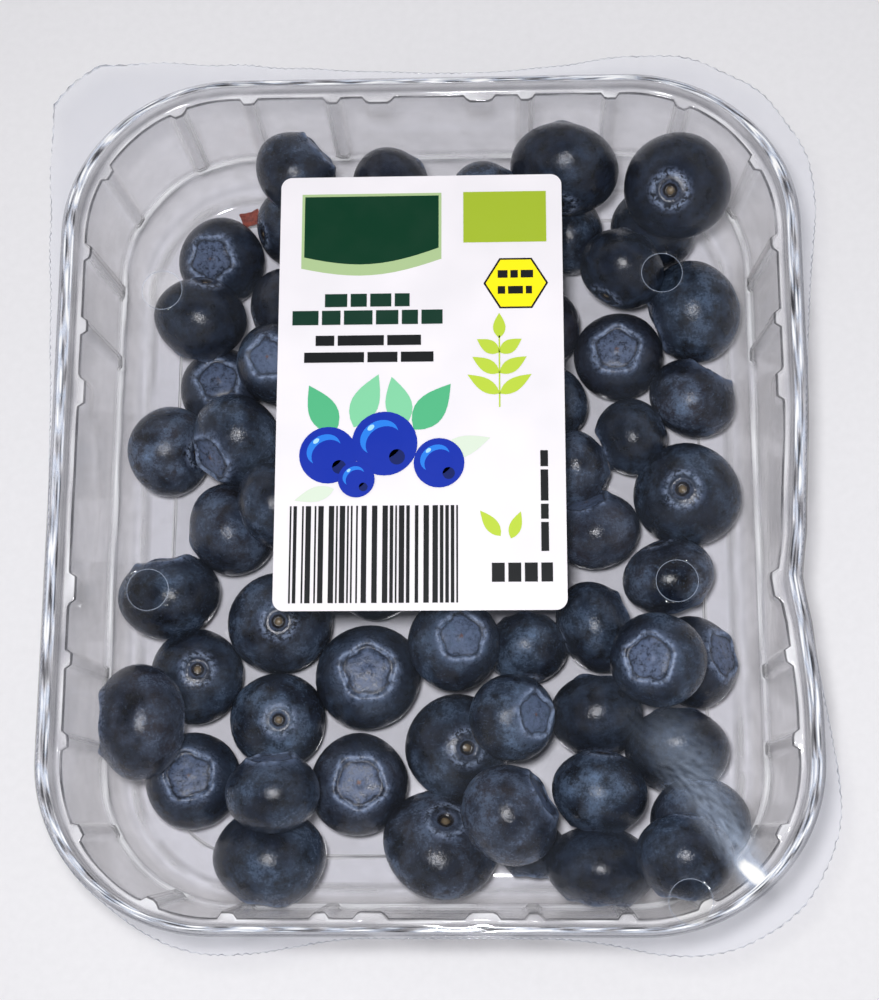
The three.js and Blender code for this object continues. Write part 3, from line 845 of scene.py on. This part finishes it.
# How the film hangs and ripples, and how far round the label it is flat. A painted reflection runs along the
# creased part of it from its start along its way, and ends in a painted glint.
SAG, SAG_WIDTH, SAG_POWER = 2.2, 34.0, 2.2
WRINKLE, WRINKLE_SIZE = 0.05, 16.0
LABEL_HOLD = 0.5
CREASE_START, CREASE_WAY = Vector((37.0, -40.0)), Vector((11.8, -20.0))
CREASE_HALF, CREASE_REFLECTION = 5.5, 0.31
GLINT, GLINT_WAY = Vector((48.2, -59.5)), Vector((0.78, -0.63))
GLINT_LONG, GLINT_WIDE, GLINT_BRIGHTNESS, MOST_PAINTED_LIGHT = 3.6, 1.5, 1.8, 1.3
SEAL_BANDS = (25.6, 25.85, 26.1, 26.35, 26.6, 26.85)
FLAP_SHARES = (0.0, 0.15, 0.35, 0.55, 0.75, 0.9, 0.95, 1.0)
TOOTH_DEPTH, FLAP_FOLD = 0.3, 0.12


def film_height(inward, x, y):
    """The film's height over the flange: it hangs from the edge, and the label holds it flat."""
    inward += max(0.0, min(CORNER_X - abs(x), CORNER_Y - abs(y)))
    hang = SAG * (1 - max(0.0, 1 - inward / SAG_WIDTH) ** SAG_POWER)
    beside = max(abs(x - LABEL_X) - LABEL_WIDTH / 2, abs(y - LABEL_Y) - LABEL_LENGTH / 2)
    free = smooth_step(beside, LABEL_HOLD, LABEL_HOLD + 8)
    ripple = WRINKLE * noise.noise(Vector((x / WRINKLE_SIZE, y / WRINKLE_SIZE, 3)))
    ripple *= smooth_step(inward, 0.0, 4.0)
    return FILM_LIFT - SAG + (SAG - hang + ripple) * free


def painted_crease_reflection(point):
    """The painted reflection on the creased part of the film, brightest at the painted glint by the corner.
    """
    along = (point.xy - CREASE_START).dot(CREASE_WAY) / CREASE_WAY.length_squared
    along = min(1.0, max(0.0, along))
    off = (point.xy - CREASE_START - CREASE_WAY * along).length
    fine = noise.noise(Vector((point.x * 2.3, point.y * 1.7, 2)))
    streak = CREASE_REFLECTION * ease_bump(off, CREASE_HALF * (1.2 - 0.6 * along)) * (0.3 + 0.7 * along)
    beside = point.xy - GLINT
    spot = math.hypot(beside.dot(GLINT_WAY) / GLINT_LONG, beside.cross(GLINT_WAY) / GLINT_WIDE)
    return min(MOST_PAINTED_LIGHT, streak * max(0.0, 0.75 + 0.9 * fine) + GLINT_BRIGHTNESS * ease_bump(spot, 1.0))


def film_rings(places, look):
    """The film's outlines from its level middle to its cut edge, and how much painted shade and how much haze
    and painted highlight each point has.
    """
    rings = []
    for share in FILM_SHARES:
        flat = [(place.base[0] * share, place.base[1] * share) for place in places]
        rings.append([Vector((x, y, SEAL_Z + film_height(SEAL_IN, x, y))) for x, y in flat])
    for inward in FILM_INWARD:
        reach = SEAL_IN - inward
        flat = [place.point(reach, reach_y_of(reach), SEAL_Z) for place in places]
        rings.append([Vector((p.x, p.y, SEAL_Z + film_height(inward, p.x, p.y))) for p in flat])
    # The film's middle carries the painted reflection along its crease and the painted glint.
    marks = [[(0.0, painted_crease_reflection(point)) for point in ring] for ring in rings]
    for reach in SEAL_BANDS:
        ring, mark = [], []
        for place in places:
            streak = noise.noise(Vector((place.round * SEAL_ROUND, reach * SEAL_REACH, 5)))
            z = SEAL_Z + FILM_LIFT + SEAL_RIPPLE * streak
            ring.append(place.point(reach, reach_y_of(reach), z))
            # Painted shade where the seal's ripple dips and painted highlight where it rises, in streaks.
            mark.append((min(0.9, max(0.0, -1.8 * streak - 0.1)), min(1.2, max(0.0, 2.4 * streak + 0.1))))
        rings.append(ring)
        marks.append(mark)
    for share in FLAP_SHARES:
        ring, mark = [], []
        for i, place in enumerate(places):
            edge_x, edge_y, droop = flap_edge(place)
            at_edge = share == 1.0
            tooth = TOOTH_DEPTH * (i % 2) * look.uniform(0.5, 1.0) if at_edge else 0.0
            fold = noise.noise(Vector((place.round * LINE_ROUND, share * 1.5, 0)))
            x = SEAL_OUT + (edge_x - SEAL_OUT) * share - tooth
            y = reach_y_of(SEAL_OUT) + (edge_y - reach_y_of(SEAL_OUT)) * share - tooth
            flat = place.point(x, y, SEAL_Z)
            height = FILM_LIFT + droop * share * share + FLAP_FOLD * share * fold
            ring.append(Vector((flat.x, flat.y, SEAL_Z + height)))
            # At the cut edge, random points of painted shade and painted highlight; elsewhere on the flaps a
            # faint even haze.
            mark.append((0.6 * look.random() if at_edge else 0.0, 0.3 * look.random() if at_edge else 0.03))
        rings.append(ring)
        marks.append(mark)
    return rings, marks


def vent_cutters():
    """Upright rods where the vents are, as one mesh."""
    bm = bmesh.new()
    for x, y in VENTS:
        place = TO_METRES @ Matrix.Translation((x, y, SEAL_Z))
        bmesh.ops.create_cone(
            bm,
            cap_ends=True,
            segments=VENT_SEGMENTS,
            radius1=VENT_RADIUS,
            radius2=VENT_RADIUS,
            depth=VENT_CUT,
            matrix=place,
        )
    mesh = bpy.data.meshes.new("vent_cutters")
    bm.to_mesh(mesh)
    bm.free()
    return mesh


def apply_modifiers(piece):
    """Bakes a piece's modifiers into its mesh."""
    graph = bpy.context.evaluated_depsgraph_get()
    baked = bpy.data.meshes.new_from_object(piece.evaluated_get(graph))
    piece.modifiers.clear()
    piece.data = baked


# The label's print, in millimetres from the label's middle

LABEL_X, LABEL_Y, LABEL_WIDTH, LABEL_LENGTH, LABEL_CORNER = -1.2, 15.9, 45.7, 71.6, 1.8
PAPER_BOTTOM = SEAL_Z + FILM_LIFT - SAG + 0.02
PAPER_TOP = PAPER_BOTTOM + 0.17
INK_STEP = 0.012
INK_THINNING = 0.003
INKS = {
    "green": "#023420",
    "sage": "#a5bd8b",
    "lime": "#9cb22e",
    "leaf": "#b3cb3f",
    "yellow": "#f8e414",
    "black": "#15171a",
    "forest": "#0d3326",
    "emerald": "#4fae7d",
    "mint": "#7cc79b",
    "pale": "#cfdccb",
    "royal": "#0a2ba0",
    "azure": "#2478dc",
    "navy": "#071a5c",
    "sky": "#9fd0f5",
}


def coated_paper():
    """Coated label paper: bright white, nearly smooth, with the faint tooth of its fibres."""
    material, add = new_material("coated label paper")
    fibres = add("TexNoise", of_size(add, 0.35, detail=5.0, roughness=0.7))
    shade = add("MapRange", (add("TexNoise", of_size(add, 12.0, detail=2.0)), 0.3, 0.7))
    inputs = {
        "Base Color": add("Mix", {0: shade, 6: linear("#dfdce1"), 7: linear("#e7e3e8")}, **COLOURS),
        "Roughness": 0.45,
        "IOR": 1.47,
        "Specular IOR Level": 0.35,
        "Normal": add("Bump", {"Height": fibres, "Distance": 0.02 * MM, "Strength": 0.5}),
    }
    add("OutputMaterial", (add("BsdfPrincipled", inputs),))
    return material


def offset_ink(name, hex_colour):
    """Offset printing ink: even colour, a little thinner in broad patches, with a dull gloss."""
    material, add = new_material("offset ink " + name)
    full = linear(hex_colour)
    thin = [c + (1 - c) * INK_THINNING for c in full[:3]] + [1.0]
    patches = add("MapRange", (add("TexNoise", of_size(add, 5.0, detail=2.0)), 0.35, 0.7))
    inputs = {
        "Base Color": add("Mix", {0: patches, 6: full, 7: thin}, **COLOURS),
        "Roughness": 0.5,
        "IOR": 1.45,
        "Specular IOR Level": 0.15,
    }
    add("OutputMaterial", (add("BsdfPrincipled", inputs),))
    return material


class LabelPrint:
    """Collects flat printed shapes over the label's paper, later ones over earlier ones."""

    def __init__(self):
        self.bm = bmesh.new()
        self.inks = list(INKS)
        self.layer = 1

    def field(self, ink, points):
        """A filled outline through the points, anticlockwise."""
        z = PAPER_TOP + INK_STEP * self.layer
        verts = [self.bm.verts.new((LABEL_X + u, LABEL_Y + v, z)) for u, v in points]
        face = self.bm.faces.new(verts)
        face.material_index = self.inks.index(ink)

    def bar(self, ink, left, low, right, high):
        self.field(ink, ((left, low), (right, low), (right, high), (left, high)))

    def disc(self, ink, u, v, radius, flat=1.0, turn=0.0, steps=32):
        points = []
        cos, sin = math.cos(turn), math.sin(turn)
        for i in range(steps):
            a = 2 * math.pi * i / steps
            x, y = radius * math.cos(a), radius * flat * math.sin(a)
            points.append((u + x * cos - y * sin, v + x * sin + y * cos))
        self.field(ink, points)

    def leaf(self, ink, u, v, length, width, degrees, steps=9):
        """A pointed leaf from its stalk end, along the given way."""
        turn = math.radians(degrees)
        shares = [i / steps for i in range(steps + 1)]
        side = [(length * share, width / 2 * math.sin(math.pi * share**0.8)) for share in shares]
        outline = [(a, -b) for a, b in side] + [(a, b) for a, b in reversed(side[1:-1])]
        cos, sin = math.cos(turn), math.sin(turn)
        self.field(ink, [(u + a * cos - b * sin, v + a * sin + b * cos) for a, b in outline])


def print_panels(sheet):
    """Two plain fields along the top and a plain hexagon."""
    left, right, low, top, sag, steps = -18.9, 2.9, 22.0, 32.4, 1.6, 12
    for ink, grow, drop in (("sage", 0.45, 1.9), ("green", 0.0, 0.0)):
        curve = []
        for i in range(steps + 1):
            share = i / steps
            u = left - grow + (right - left + 2 * grow) * share
            curve.append((u, low - drop - sag * math.sin(math.pi * share) + 1.4 * share * share))
        sheet.field(ink, [*curve, (right + grow, top + grow), (left - grow, top + grow)])
        sheet.layer += 1
    sheet.bar("lime", 6.9, 24.2, 20.3, 32.9)
    for ink, size in (("black", 1.0), ("yellow", 0.93)):
        wide, tall = 5.2 * size, 4.25 * size
        corners = ((-1, 0), (-0.5, -1), (0.5, -1), (1, 0), (0.5, 1), (-0.5, 1))
        sheet.field(ink, [(15.3 + wide * u, 17.2 + tall * v) for u, v in corners])
        sheet.layer += 1


def print_rows(sheet):
    """Rows of dark bars of mixed widths."""
    rows = (
        ("forest", 13.5, 15.7, -15.4, (3.6, 2.6, 3.4, 2.4)),
        ("forest", 10.5, 12.9, -20.6, (4.2, 3.0, 4.6, 3.6, 2.6, 3.4)),
        ("black", 7.0, 8.7, -16.8, (3.0, 7.4, 5.4)),
        ("black", 4.2, 5.9, -18.6, (9.6, 4.8, 5.2)),
        ("black", -31.4, -28.4, 11.2, (2.0, 2.0, 2.0, 1.8)),
    )
    for ink, low, high, left, widths in rows:
        for width in widths:
            sheet.bar(ink, left, low, left + width, high)
            left += width + 0.55
    low = -26.6
    for length in (4.6, 2.4, 5.0, 2.6):
        sheet.bar("black", 18.9, low, 20.1, low + length)
        low += length + 0.5
    for v, widths in ((18.1, (1.6, 1.2, 2.0)), (15.4, (1.2, 2.4, 1.0))):
        u = 12.4
        for width in widths:
            sheet.bar("black", u, v, u + width, v + 1.3)
            u += width + 0.45


def print_bars(sheet, look):
    """A plain pattern of upright bars of mixed widths."""
    u, right = -20.4, 6.4
    while u < right:
        width = look.choice((0.28, 0.28, 0.55, 0.85))
        sheet.bar("black", u, -34.6, min(u + width, right), -19.2)
        u += width + look.choice((0.3, 0.3, 0.55, 0.8))


def print_fruit(sheet):
    """A row of round berries with leaves between them."""
    for u, v, length, width, degrees, ink in (
        (-13.5, -7.5, 9.0, 4.6, 118, "emerald"),
        (-10.5, -6.5, 9.5, 4.4, 66, "mint"),
        (-1.0, -7.0, 9.5, 4.8, 52, "emerald"),
        (-2.5, -6.5, 8.5, 4.2, 104, "mint"),
        (3.0, -11.0, 8.5, 3.4, 18, "pale"),
        (-13.5, -16.5, 6.5, 2.4, 196, "pale"),
    ):
        sheet.leaf(ink, u, v, length, width, degrees)
    sheet.layer += 1
    for u, v, radius in ((-14.5, -11.0, 4.6), (-5.6, -9.2, 5.2), (3.0, -12.4, 4.0), (-10.0, -15.0, 2.9)):
        sheet.disc("royal", u, v, radius)
        sheet.layer += 1
        sheet.disc("azure", u - radius * 0.16, v + radius * 0.2, radius * 0.62, 0.8, 0.6)
        sheet.layer += 1
        sheet.disc("royal", u - radius * 0.02, v + radius * 0.02, radius * 0.58, 0.85, 0.6)
        sheet.disc("navy", u + radius * 0.38, v - radius * 0.42, radius * 0.24)
        sheet.disc("sky", u - radius * 0.42, v + radius * 0.5, radius * 0.12, 0.6, 0.7)
        sheet.layer += 1


def print_twig(sheet):
    """An upright twig with leaves in pairs, and two loose leaves below it."""
    stalk, foot, top, pairs = 12.6, -3.4, 8.4, 3
    sheet.bar("leaf", stalk - 0.12, foot, stalk + 0.12, top)
    for i in range(pairs):
        v = foot + 2.2 + i * 3.4
        length = 6.0 - 0.9 * i
        sheet.leaf("leaf", stalk, v, length, 2.2, 32)
        sheet.leaf("leaf", stalk, v, length, 2.2, 148)
    sheet.leaf("leaf", stalk, top - 0.4, 4.2, 2.0, 90)
    sheet.leaf("leaf", 12.6, -24.2, 5.2, 2.1, 128)
    sheet.leaf("leaf", 14.2, -24.6, 4.6, 1.9, 70)


# Sizes and colours that a user would change


def length(name, description, millimetres):
    """A length that a user sees in the scene's units."""
    return FloatProperty(name=name, description=description, default=millimetres * MM, unit="LENGTH")


def colour(name, description, hex_colour):
    """A colour that a user picks."""
    default = linear(hex_colour)[:3]
    return FloatVectorProperty(name=name, description=description, subtype="COLOR", default=default)


class PunnetBerrySettings(bpy.types.PropertyGroup):
    crown_lobes: FloatProperty(name="Crown lobes", description="How deep the crown's lobes are", default=0.05)
    unevenness: FloatProperty(name="Unevenness", description="How far the skin is off a ball", default=0.045)
    skin: colour("Skin", "Colour of the rubbed skin", "#1f2737")
    bloom: colour("Bloom", "Colour of the waxy bloom", "#7a94b5")


class PunnetTraySettings(bpy.types.PropertyGroup):
    wall: length("Wall", "Thickness of the plastic", 0.4)
    spacing: length("Spacing", "Distance between points round the outline", 0.6)
    rib_depth: length("Rib depth", "How far the ribs stand in", 0.9)
    lug_depth: length("Lug depth", "How far the lugs stand in", 1.0)
    bead_depth: length("Bead depth", "How far the middle panels' beads stand in", 0.3)
    tint: colour("Tint", "Light through one wall, square on", "#fefeff")
    edge_tint: colour("Edge tint", "Light through one wall, edge on", "#f7f6f5")


class PunnetFilmSettings(bpy.types.PropertyGroup):
    thickness: length("Thickness", "Thickness of the film", 0.08)
    tint: colour("Tint", "Light through the film", "#fefeff")
    haze_colour: colour("Haze", "Colour of the film's haze", "#cfe0fa")


class PunnetLabelSettings(bpy.types.PropertyGroup):
    bar_seed: IntProperty(name="Bar seed", description="Which run of bars is printed", default=3, min=0)


class PunnetStageSettings(bpy.types.PropertyGroup):
    table: colour("Table", "Colour of the table top", "#eeedf0")
    flash: FloatProperty(name="Flash", description="Power of the lamp", default=0.6, unit="POWER")
    room: FloatProperty(name="Room", description="Strength of the soft light all round", default=0.77)
    focal_length: FloatProperty(name="Focal length", description="The camera's, in millimetres", default=61.2)


# The stage, in millimetres and degrees. The room is bright from the sides and dark overhead, so that
# no wide light shows in the film: its greys are from straight down to straight up.
TABLE_RADIUS = 900.0
ROOM_GREYS = ((0.0, 0.45), (0.3, 0.95), (0.7, 0.95), (0.88, 0.12), (1.0, 0.07))
FLASH_PLACE, FLASH_WIDTH = Vector((1.0, -44.0, 298.0)), 24.0
CAMERA_PLACE, CAMERA_TURN = Vector((12.43, -59.42, 293.65)), (12.37, 2.317, 0.053)
MOST_CLEAR_LAYERS, MOST_BOUNCES, MOST_SOFT_BOUNCES = 24, 5, 2


# One operator for each piece, and one for the stage


class PUNNET_OT_berries(bpy.types.Operator):
    """Make the berries on the floor and those that lie on them"""

    bl_idname = "punnet.berries"
    bl_label = "Berries"

    def execute(self, context):
        look = random.Random(BERRY_SEED)
        base = base_berry()
        berries = heap()
        skin = blueberry_skin()
        count = len(FLOOR_BERRIES)
        for name, group in (("floor_berries", berries[:count]), ("upper_berries", berries[count:])):
            piece = make_piece(name, berries_mesh(group, base, look), [skin])
            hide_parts("berries")
        bpy.data.meshes.remove(base)
        return {"FINISHED"}


class PUNNET_OT_tray(bpy.types.Operator):
    """Make the clear tray with its foot, ribs, ledge and flange"""

    bl_idname = "punnet.tray"
    bl_label = "Tray"

    def execute(self, context):
        settings = context.scene.punnet_tray
        bm = loft(*tray_rings(stations(settings.spacing / MM)))
        bmesh.ops.recalc_face_normals(bm, faces=bm.faces)
        bm.transform(TO_METRES)
        piece = make_piece("clear_tray", bm, [tray_plastic()])
        point_up(piece)
        wall = piece.modifiers.new("wall", "SOLIDIFY")
        wall.thickness = settings.wall
        wall.offset = -1
        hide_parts("tray")
        return {"FINISHED"}


def point_up(piece):
    """Turns an open skin round if its first face points down."""
    mesh = piece.data
    floor = max(mesh.polygons, key=lambda face: face.area)
    if floor.normal.z < 0:
        mesh.flip_normals()
    for face in mesh.polygons:
        if len(face.vertices) > 4:
            face.use_smooth = False


class PUNNET_OT_film(bpy.types.Operator):
    """Make the sealing film with its flaps, cut edge and vents"""

    bl_idname = "punnet.film"
    bl_label = "Sealing film"

    def execute(self, context):
        settings = context.scene.punnet_film
        spacing = context.scene.punnet_tray.spacing / MM
        bm = loft(*film_rings(stations(spacing), random.Random(BERRY_SEED)))
        bmesh.ops.recalc_face_normals(bm, faces=bm.faces)
        bm.transform(TO_METRES)
        piece = make_piece("sealing_film", bm, [film_plastic()])
        point_up(piece)
        cutter = bpy.data.objects.new("vent_cutters", vent_cutters())
        context.scene.collection.objects.link(cutter)
        sheet = piece.modifiers.new("sheet", "SOLIDIFY")
        sheet.thickness = settings.thickness
        sheet.offset = -1
        vents = piece.modifiers.new("vents", "BOOLEAN")
        vents.object = cutter
        vents.operation = "DIFFERENCE"
        vents.solver = "EXACT"
        apply_modifiers(piece)
        bpy.data.objects.remove(cutter)
        if not piece.data.polygons:
            raise RuntimeError("The vents cut the whole film away")
        self.add_rims(piece)
        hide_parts("lid_film")
        return {"FINISHED"}

    def add_rims(self, piece):
        """Adds the bead that the hot cutter leaves round each vent, whitened partly as milky plastic and
        partly as a painted highlight.
        """
        bm = bmesh.new()
        bm.from_mesh(piece.data)
        haze_and_highlight = bm.verts.layers.float["haze_and_highlight"]
        for x, y in VENTS:
            inward = min(CORNER_X + SEAL_IN - abs(x), CORNER_Y + SEAL_IN - abs(y))
            z = SEAL_Z + film_height(min(inward, SEAL_IN), x, y)
            start = len(bm.verts)
            upright = Matrix.Rotation(math.pi / 2, 4, "X")
            place = TO_METRES @ Matrix.Translation((x + VENT_RADIUS, y, z)) @ upright
            made = bmesh.ops.create_circle(bm, segments=6, radius=RIM_BEAD, matrix=place)["verts"]
            bmesh.ops.spin(
                bm,
                geom=made + [edge for edge in bm.edges if edge.verts[0] in made],
                cent=TO_METRES @ Vector((x, y, z)),
                axis=(0, 0, 1),
                angle=2 * math.pi,
                steps=VENT_SEGMENTS,
                use_merge=True,
            )
            bm.verts.ensure_lookup_table()
            for vert in bm.verts[start:]:
                vert[haze_and_highlight] = RIM_HAZE_AND_HIGHLIGHT
        bmesh.ops.recalc_face_normals(bm, faces=bm.faces)
        for face in bm.faces:
            face.smooth = True
        bm.to_mesh(piece.data)
        bm.free()


class PUNNET_OT_label(bpy.types.Operator):
    """Make the paper label and its print"""

    bl_idname = "punnet.label"
    bl_label = "Label"

    def execute(self, context):
        paper = self.make_paper()
        sheet = LabelPrint()
        print_panels(sheet)
        print_rows(sheet)
        print_bars(sheet, random.Random(context.scene.punnet_label.bar_seed))
        print_twig(sheet)
        print_fruit(sheet)
        bmesh.ops.recalc_face_normals(sheet.bm, faces=sheet.bm.faces)
        for face in sheet.bm.faces:
            if face.normal.z < 0:
                face.normal_flip()
        sheet.bm.transform(TO_METRES)
        inks = [offset_ink(name, colour) for name, colour in INKS.items()]
        ink_piece = make_piece("label_print", sheet.bm, inks, smooth=False)
        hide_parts("label")
        return {"FINISHED"}

    def make_paper(self):
        bm = bmesh.new()
        bmesh.ops.create_grid(bm, x_segments=1, y_segments=1, size=0.5)
        bmesh.ops.scale(bm, vec=(LABEL_WIDTH, LABEL_LENGTH, 1), verts=bm.verts)
        bmesh.ops.bevel(
            bm,
            geom=bm.verts[:],
            offset=LABEL_CORNER,
            offset_type="OFFSET",
            affect="VERTICES",
            segments=8,
            profile=0.5,
            material=-1,
        )
        made = bmesh.ops.extrude_face_region(bm, geom=bm.faces[:])["geom"]
        lifted = [item for item in made if isinstance(item, bmesh.types.BMVert)]
        bmesh.ops.translate(bm, vec=(0, 0, PAPER_TOP - PAPER_BOTTOM), verts=lifted)
        bmesh.ops.translate(bm, vec=(LABEL_X, LABEL_Y, PAPER_BOTTOM), verts=bm.verts)
        bmesh.ops.recalc_face_normals(bm, faces=bm.faces)
        bm.transform(TO_METRES)
        return make_piece("label_paper", bm, [coated_paper()], smooth=False)


class PUNNET_OT_scrap(bpy.types.Operator):
    """Make the dry leaf scrap that lies by the berries"""

    bl_idname = "punnet.scrap"
    bl_label = "Leaf scrap"

    def execute(self, context):
        bm = bmesh.new()
        bmesh.ops.create_grid(bm, x_segments=8, y_segments=6, size=1.0)
        for vert in bm.verts:
            x, y = vert.co.x, vert.co.y
            ragged = 1 + 0.25 * noise.noise(Vector((x * 2, y * 2, 4)))
            z = SCRAP_CURL * x * x + SCRAP_RIPPLE * math.sin(3 * y)
            vert.co = Vector((x * SCRAP_LONG * ragged, y * SCRAP_WIDE * ragged, z))
        bmesh.ops.solidify(bm, geom=bm.faces[:], thickness=SCRAP_THICK)
        bmesh.ops.recalc_face_normals(bm, faces=bm.faces)
        bm.transform(TO_METRES @ Matrix.Translation(SCRAP_PLACE) @ Matrix.Rotation(SCRAP_TURN, 4, "Z"))
        piece = make_piece("leaf_scrap", bm, [self.dry_leaf()])
        return {"FINISHED"}

    def dry_leaf(self):
        """Dry leaf: brick-red and matt, with darker veins."""
        material, add = new_material("dry berry leaf")
        veins = add("TexNoise", of_size(add, 0.6, detail=5.0, roughness=0.7))
        pale = add("MapRange", (veins, 0.35, 0.65))
        inputs = {
            "Base Color": add("Mix", {0: pale, 6: linear("#6d2c22"), 7: linear("#a8513f")}, **COLOURS),
            "Roughness": 0.6,
            "Normal": add("Bump", {"Height": veins, "Distance": 0.1 * MM, "Strength": 1.0}),
        }
        add("OutputMaterial", (add("BsdfPrincipled", inputs),))
        return material


class PUNNET_OT_stage(bpy.types.Operator):
    """Make the table top, the lights and the camera"""

    bl_idname = "punnet.stage"
    bl_label = "Stage"

    def execute(self, context):
        self.make_table(context)
        self.make_lights(context)
        self.make_camera(context)
        cycles = context.scene.cycles
        cycles.transparent_max_bounces = MOST_CLEAR_LAYERS
        cycles.max_bounces = MOST_BOUNCES
        cycles.diffuse_bounces = cycles.glossy_bounces = MOST_SOFT_BOUNCES
        cycles.caustics_reflective = False
        cycles.use_light_tree = False
        context.scene.view_settings.view_transform = "Standard"
        return {"FINISHED"}

    def make_table(self, context):
        bm = bmesh.new()
        bmesh.ops.create_circle(bm, cap_ends=True, segments=96, radius=TABLE_RADIUS * MM)
        mesh = bpy.data.meshes.new("table_top")
        bm.to_mesh(mesh)
        bm.free()
        material, add = new_material("matt white table laminate")
        grain = add("MapRange", (add("TexNoise", of_size(add, 1.5)), 0.3, 0.7))
        pale = [*context.scene.punnet_stage.table, 1.0]
        darker = [c * 0.97 for c in pale[:3]] + [1.0]
        shade = add("Mix", {0: grain, 6: darker, 7: pale}, **COLOURS)
        inputs = {"Base Color": shade, "Roughness": 0.6, "Specular IOR Level": 0.2}
        add("OutputMaterial", (add("BsdfPrincipled", inputs),))
        mesh.materials.append(material)
        table = bpy.data.objects.new("table_top", mesh)
        context.scene.collection.objects.link(table)

    def make_lights(self, context):
        settings = context.scene.punnet_stage
        world = bpy.data.worlds.new("soft room")
        world.use_nodes = True
        world.node_tree.nodes.clear()
        add = partial(add_node, world.node_tree)
        height = add("SeparateXYZ", (add("TexCoord", output="Generated"),), output="Z")
        stops = [(place, (grey, grey, grey + 0.01, 1)) for place, grey in ROOM_GREYS]
        sky = add("ValToRGB", (height,), stops)
        add("OutputWorld", (add("Background", (sky, settings.room)),))
        context.scene.world = world
        data = bpy.data.lights.new("flash", "AREA")
        data.shape = "DISK"
        data.size = FLASH_WIDTH * MM
        data.energy = settings.flash
        lamp = bpy.data.objects.new("flash", data)
        lamp.location = TO_METRES @ FLASH_PLACE
        lamp.rotation_euler = (MIDDLE - lamp.location).to_track_quat("-Z", "Y").to_euler()
        context.scene.collection.objects.link(lamp)

    def make_camera(self, context):
        data = bpy.data.cameras.new("camera")
        data.lens = context.scene.punnet_stage.focal_length
        data.sensor_width = 36.0
        data.clip_start = 0.01
        camera = bpy.data.objects.new("camera", data)
        camera.location = TO_METRES @ CAMERA_PLACE
        camera.rotation_euler = Euler([math.radians(a) for a in CAMERA_TURN])
        context.scene.collection.objects.link(camera)
        context.scene.camera = camera


class PUNNET_PT_panel(bpy.types.Panel):
    """Lists the pieces of the punnet"""

    bl_idname = "PUNNET_PT_panel"
    bl_label = "Punnet"
    bl_space_type = "VIEW_3D"
    bl_region_type = "UI"
    bl_category = "Punnet"

    def draw(self, context):
        for operator, group in PIECES:
            box = self.layout.box()
            box.operator(operator.bl_idname)
            if group:
                settings = getattr(context.scene, group)
                for name in settings.__annotations__:
                    box.prop(settings, name)


PIECES = (
    (PUNNET_OT_berries, "punnet_berries"),
    (PUNNET_OT_tray, "punnet_tray"),
    (PUNNET_OT_film, "punnet_film"),
    (PUNNET_OT_label, "punnet_label"),
    (PUNNET_OT_scrap, None),
    (PUNNET_OT_stage, "punnet_stage"),
)
GROUPS = {
    "punnet_berries": PunnetBerrySettings,
    "punnet_tray": PunnetTraySettings,
    "punnet_film": PunnetFilmSettings,
    "punnet_label": PunnetLabelSettings,
    "punnet_stage": PunnetStageSettings,
}


def register():
    for name, group in GROUPS.items():
        bpy.utils.register_class(group)
        setattr(bpy.types.Scene, name, PointerProperty(type=group))
    for operator, _ in PIECES:
        bpy.utils.register_class(operator)
    bpy.utils.register_class(PUNNET_PT_panel)


def unregister():
    bpy.utils.unregister_class(PUNNET_PT_panel)
    for operator, _ in reversed(PIECES):
        bpy.utils.unregister_class(operator)
    for name, group in GROUPS.items():
        delattr(bpy.types.Scene, name)
        bpy.utils.unregister_class(group)


def main():
    register()
    bpy.ops.punnet.berries()
    bpy.ops.punnet.tray()
    bpy.ops.punnet.film()
    bpy.ops.punnet.label()
    bpy.ops.punnet.scrap()
    bpy.ops.punnet.stage()


if __name__ == "__main__":
    main()
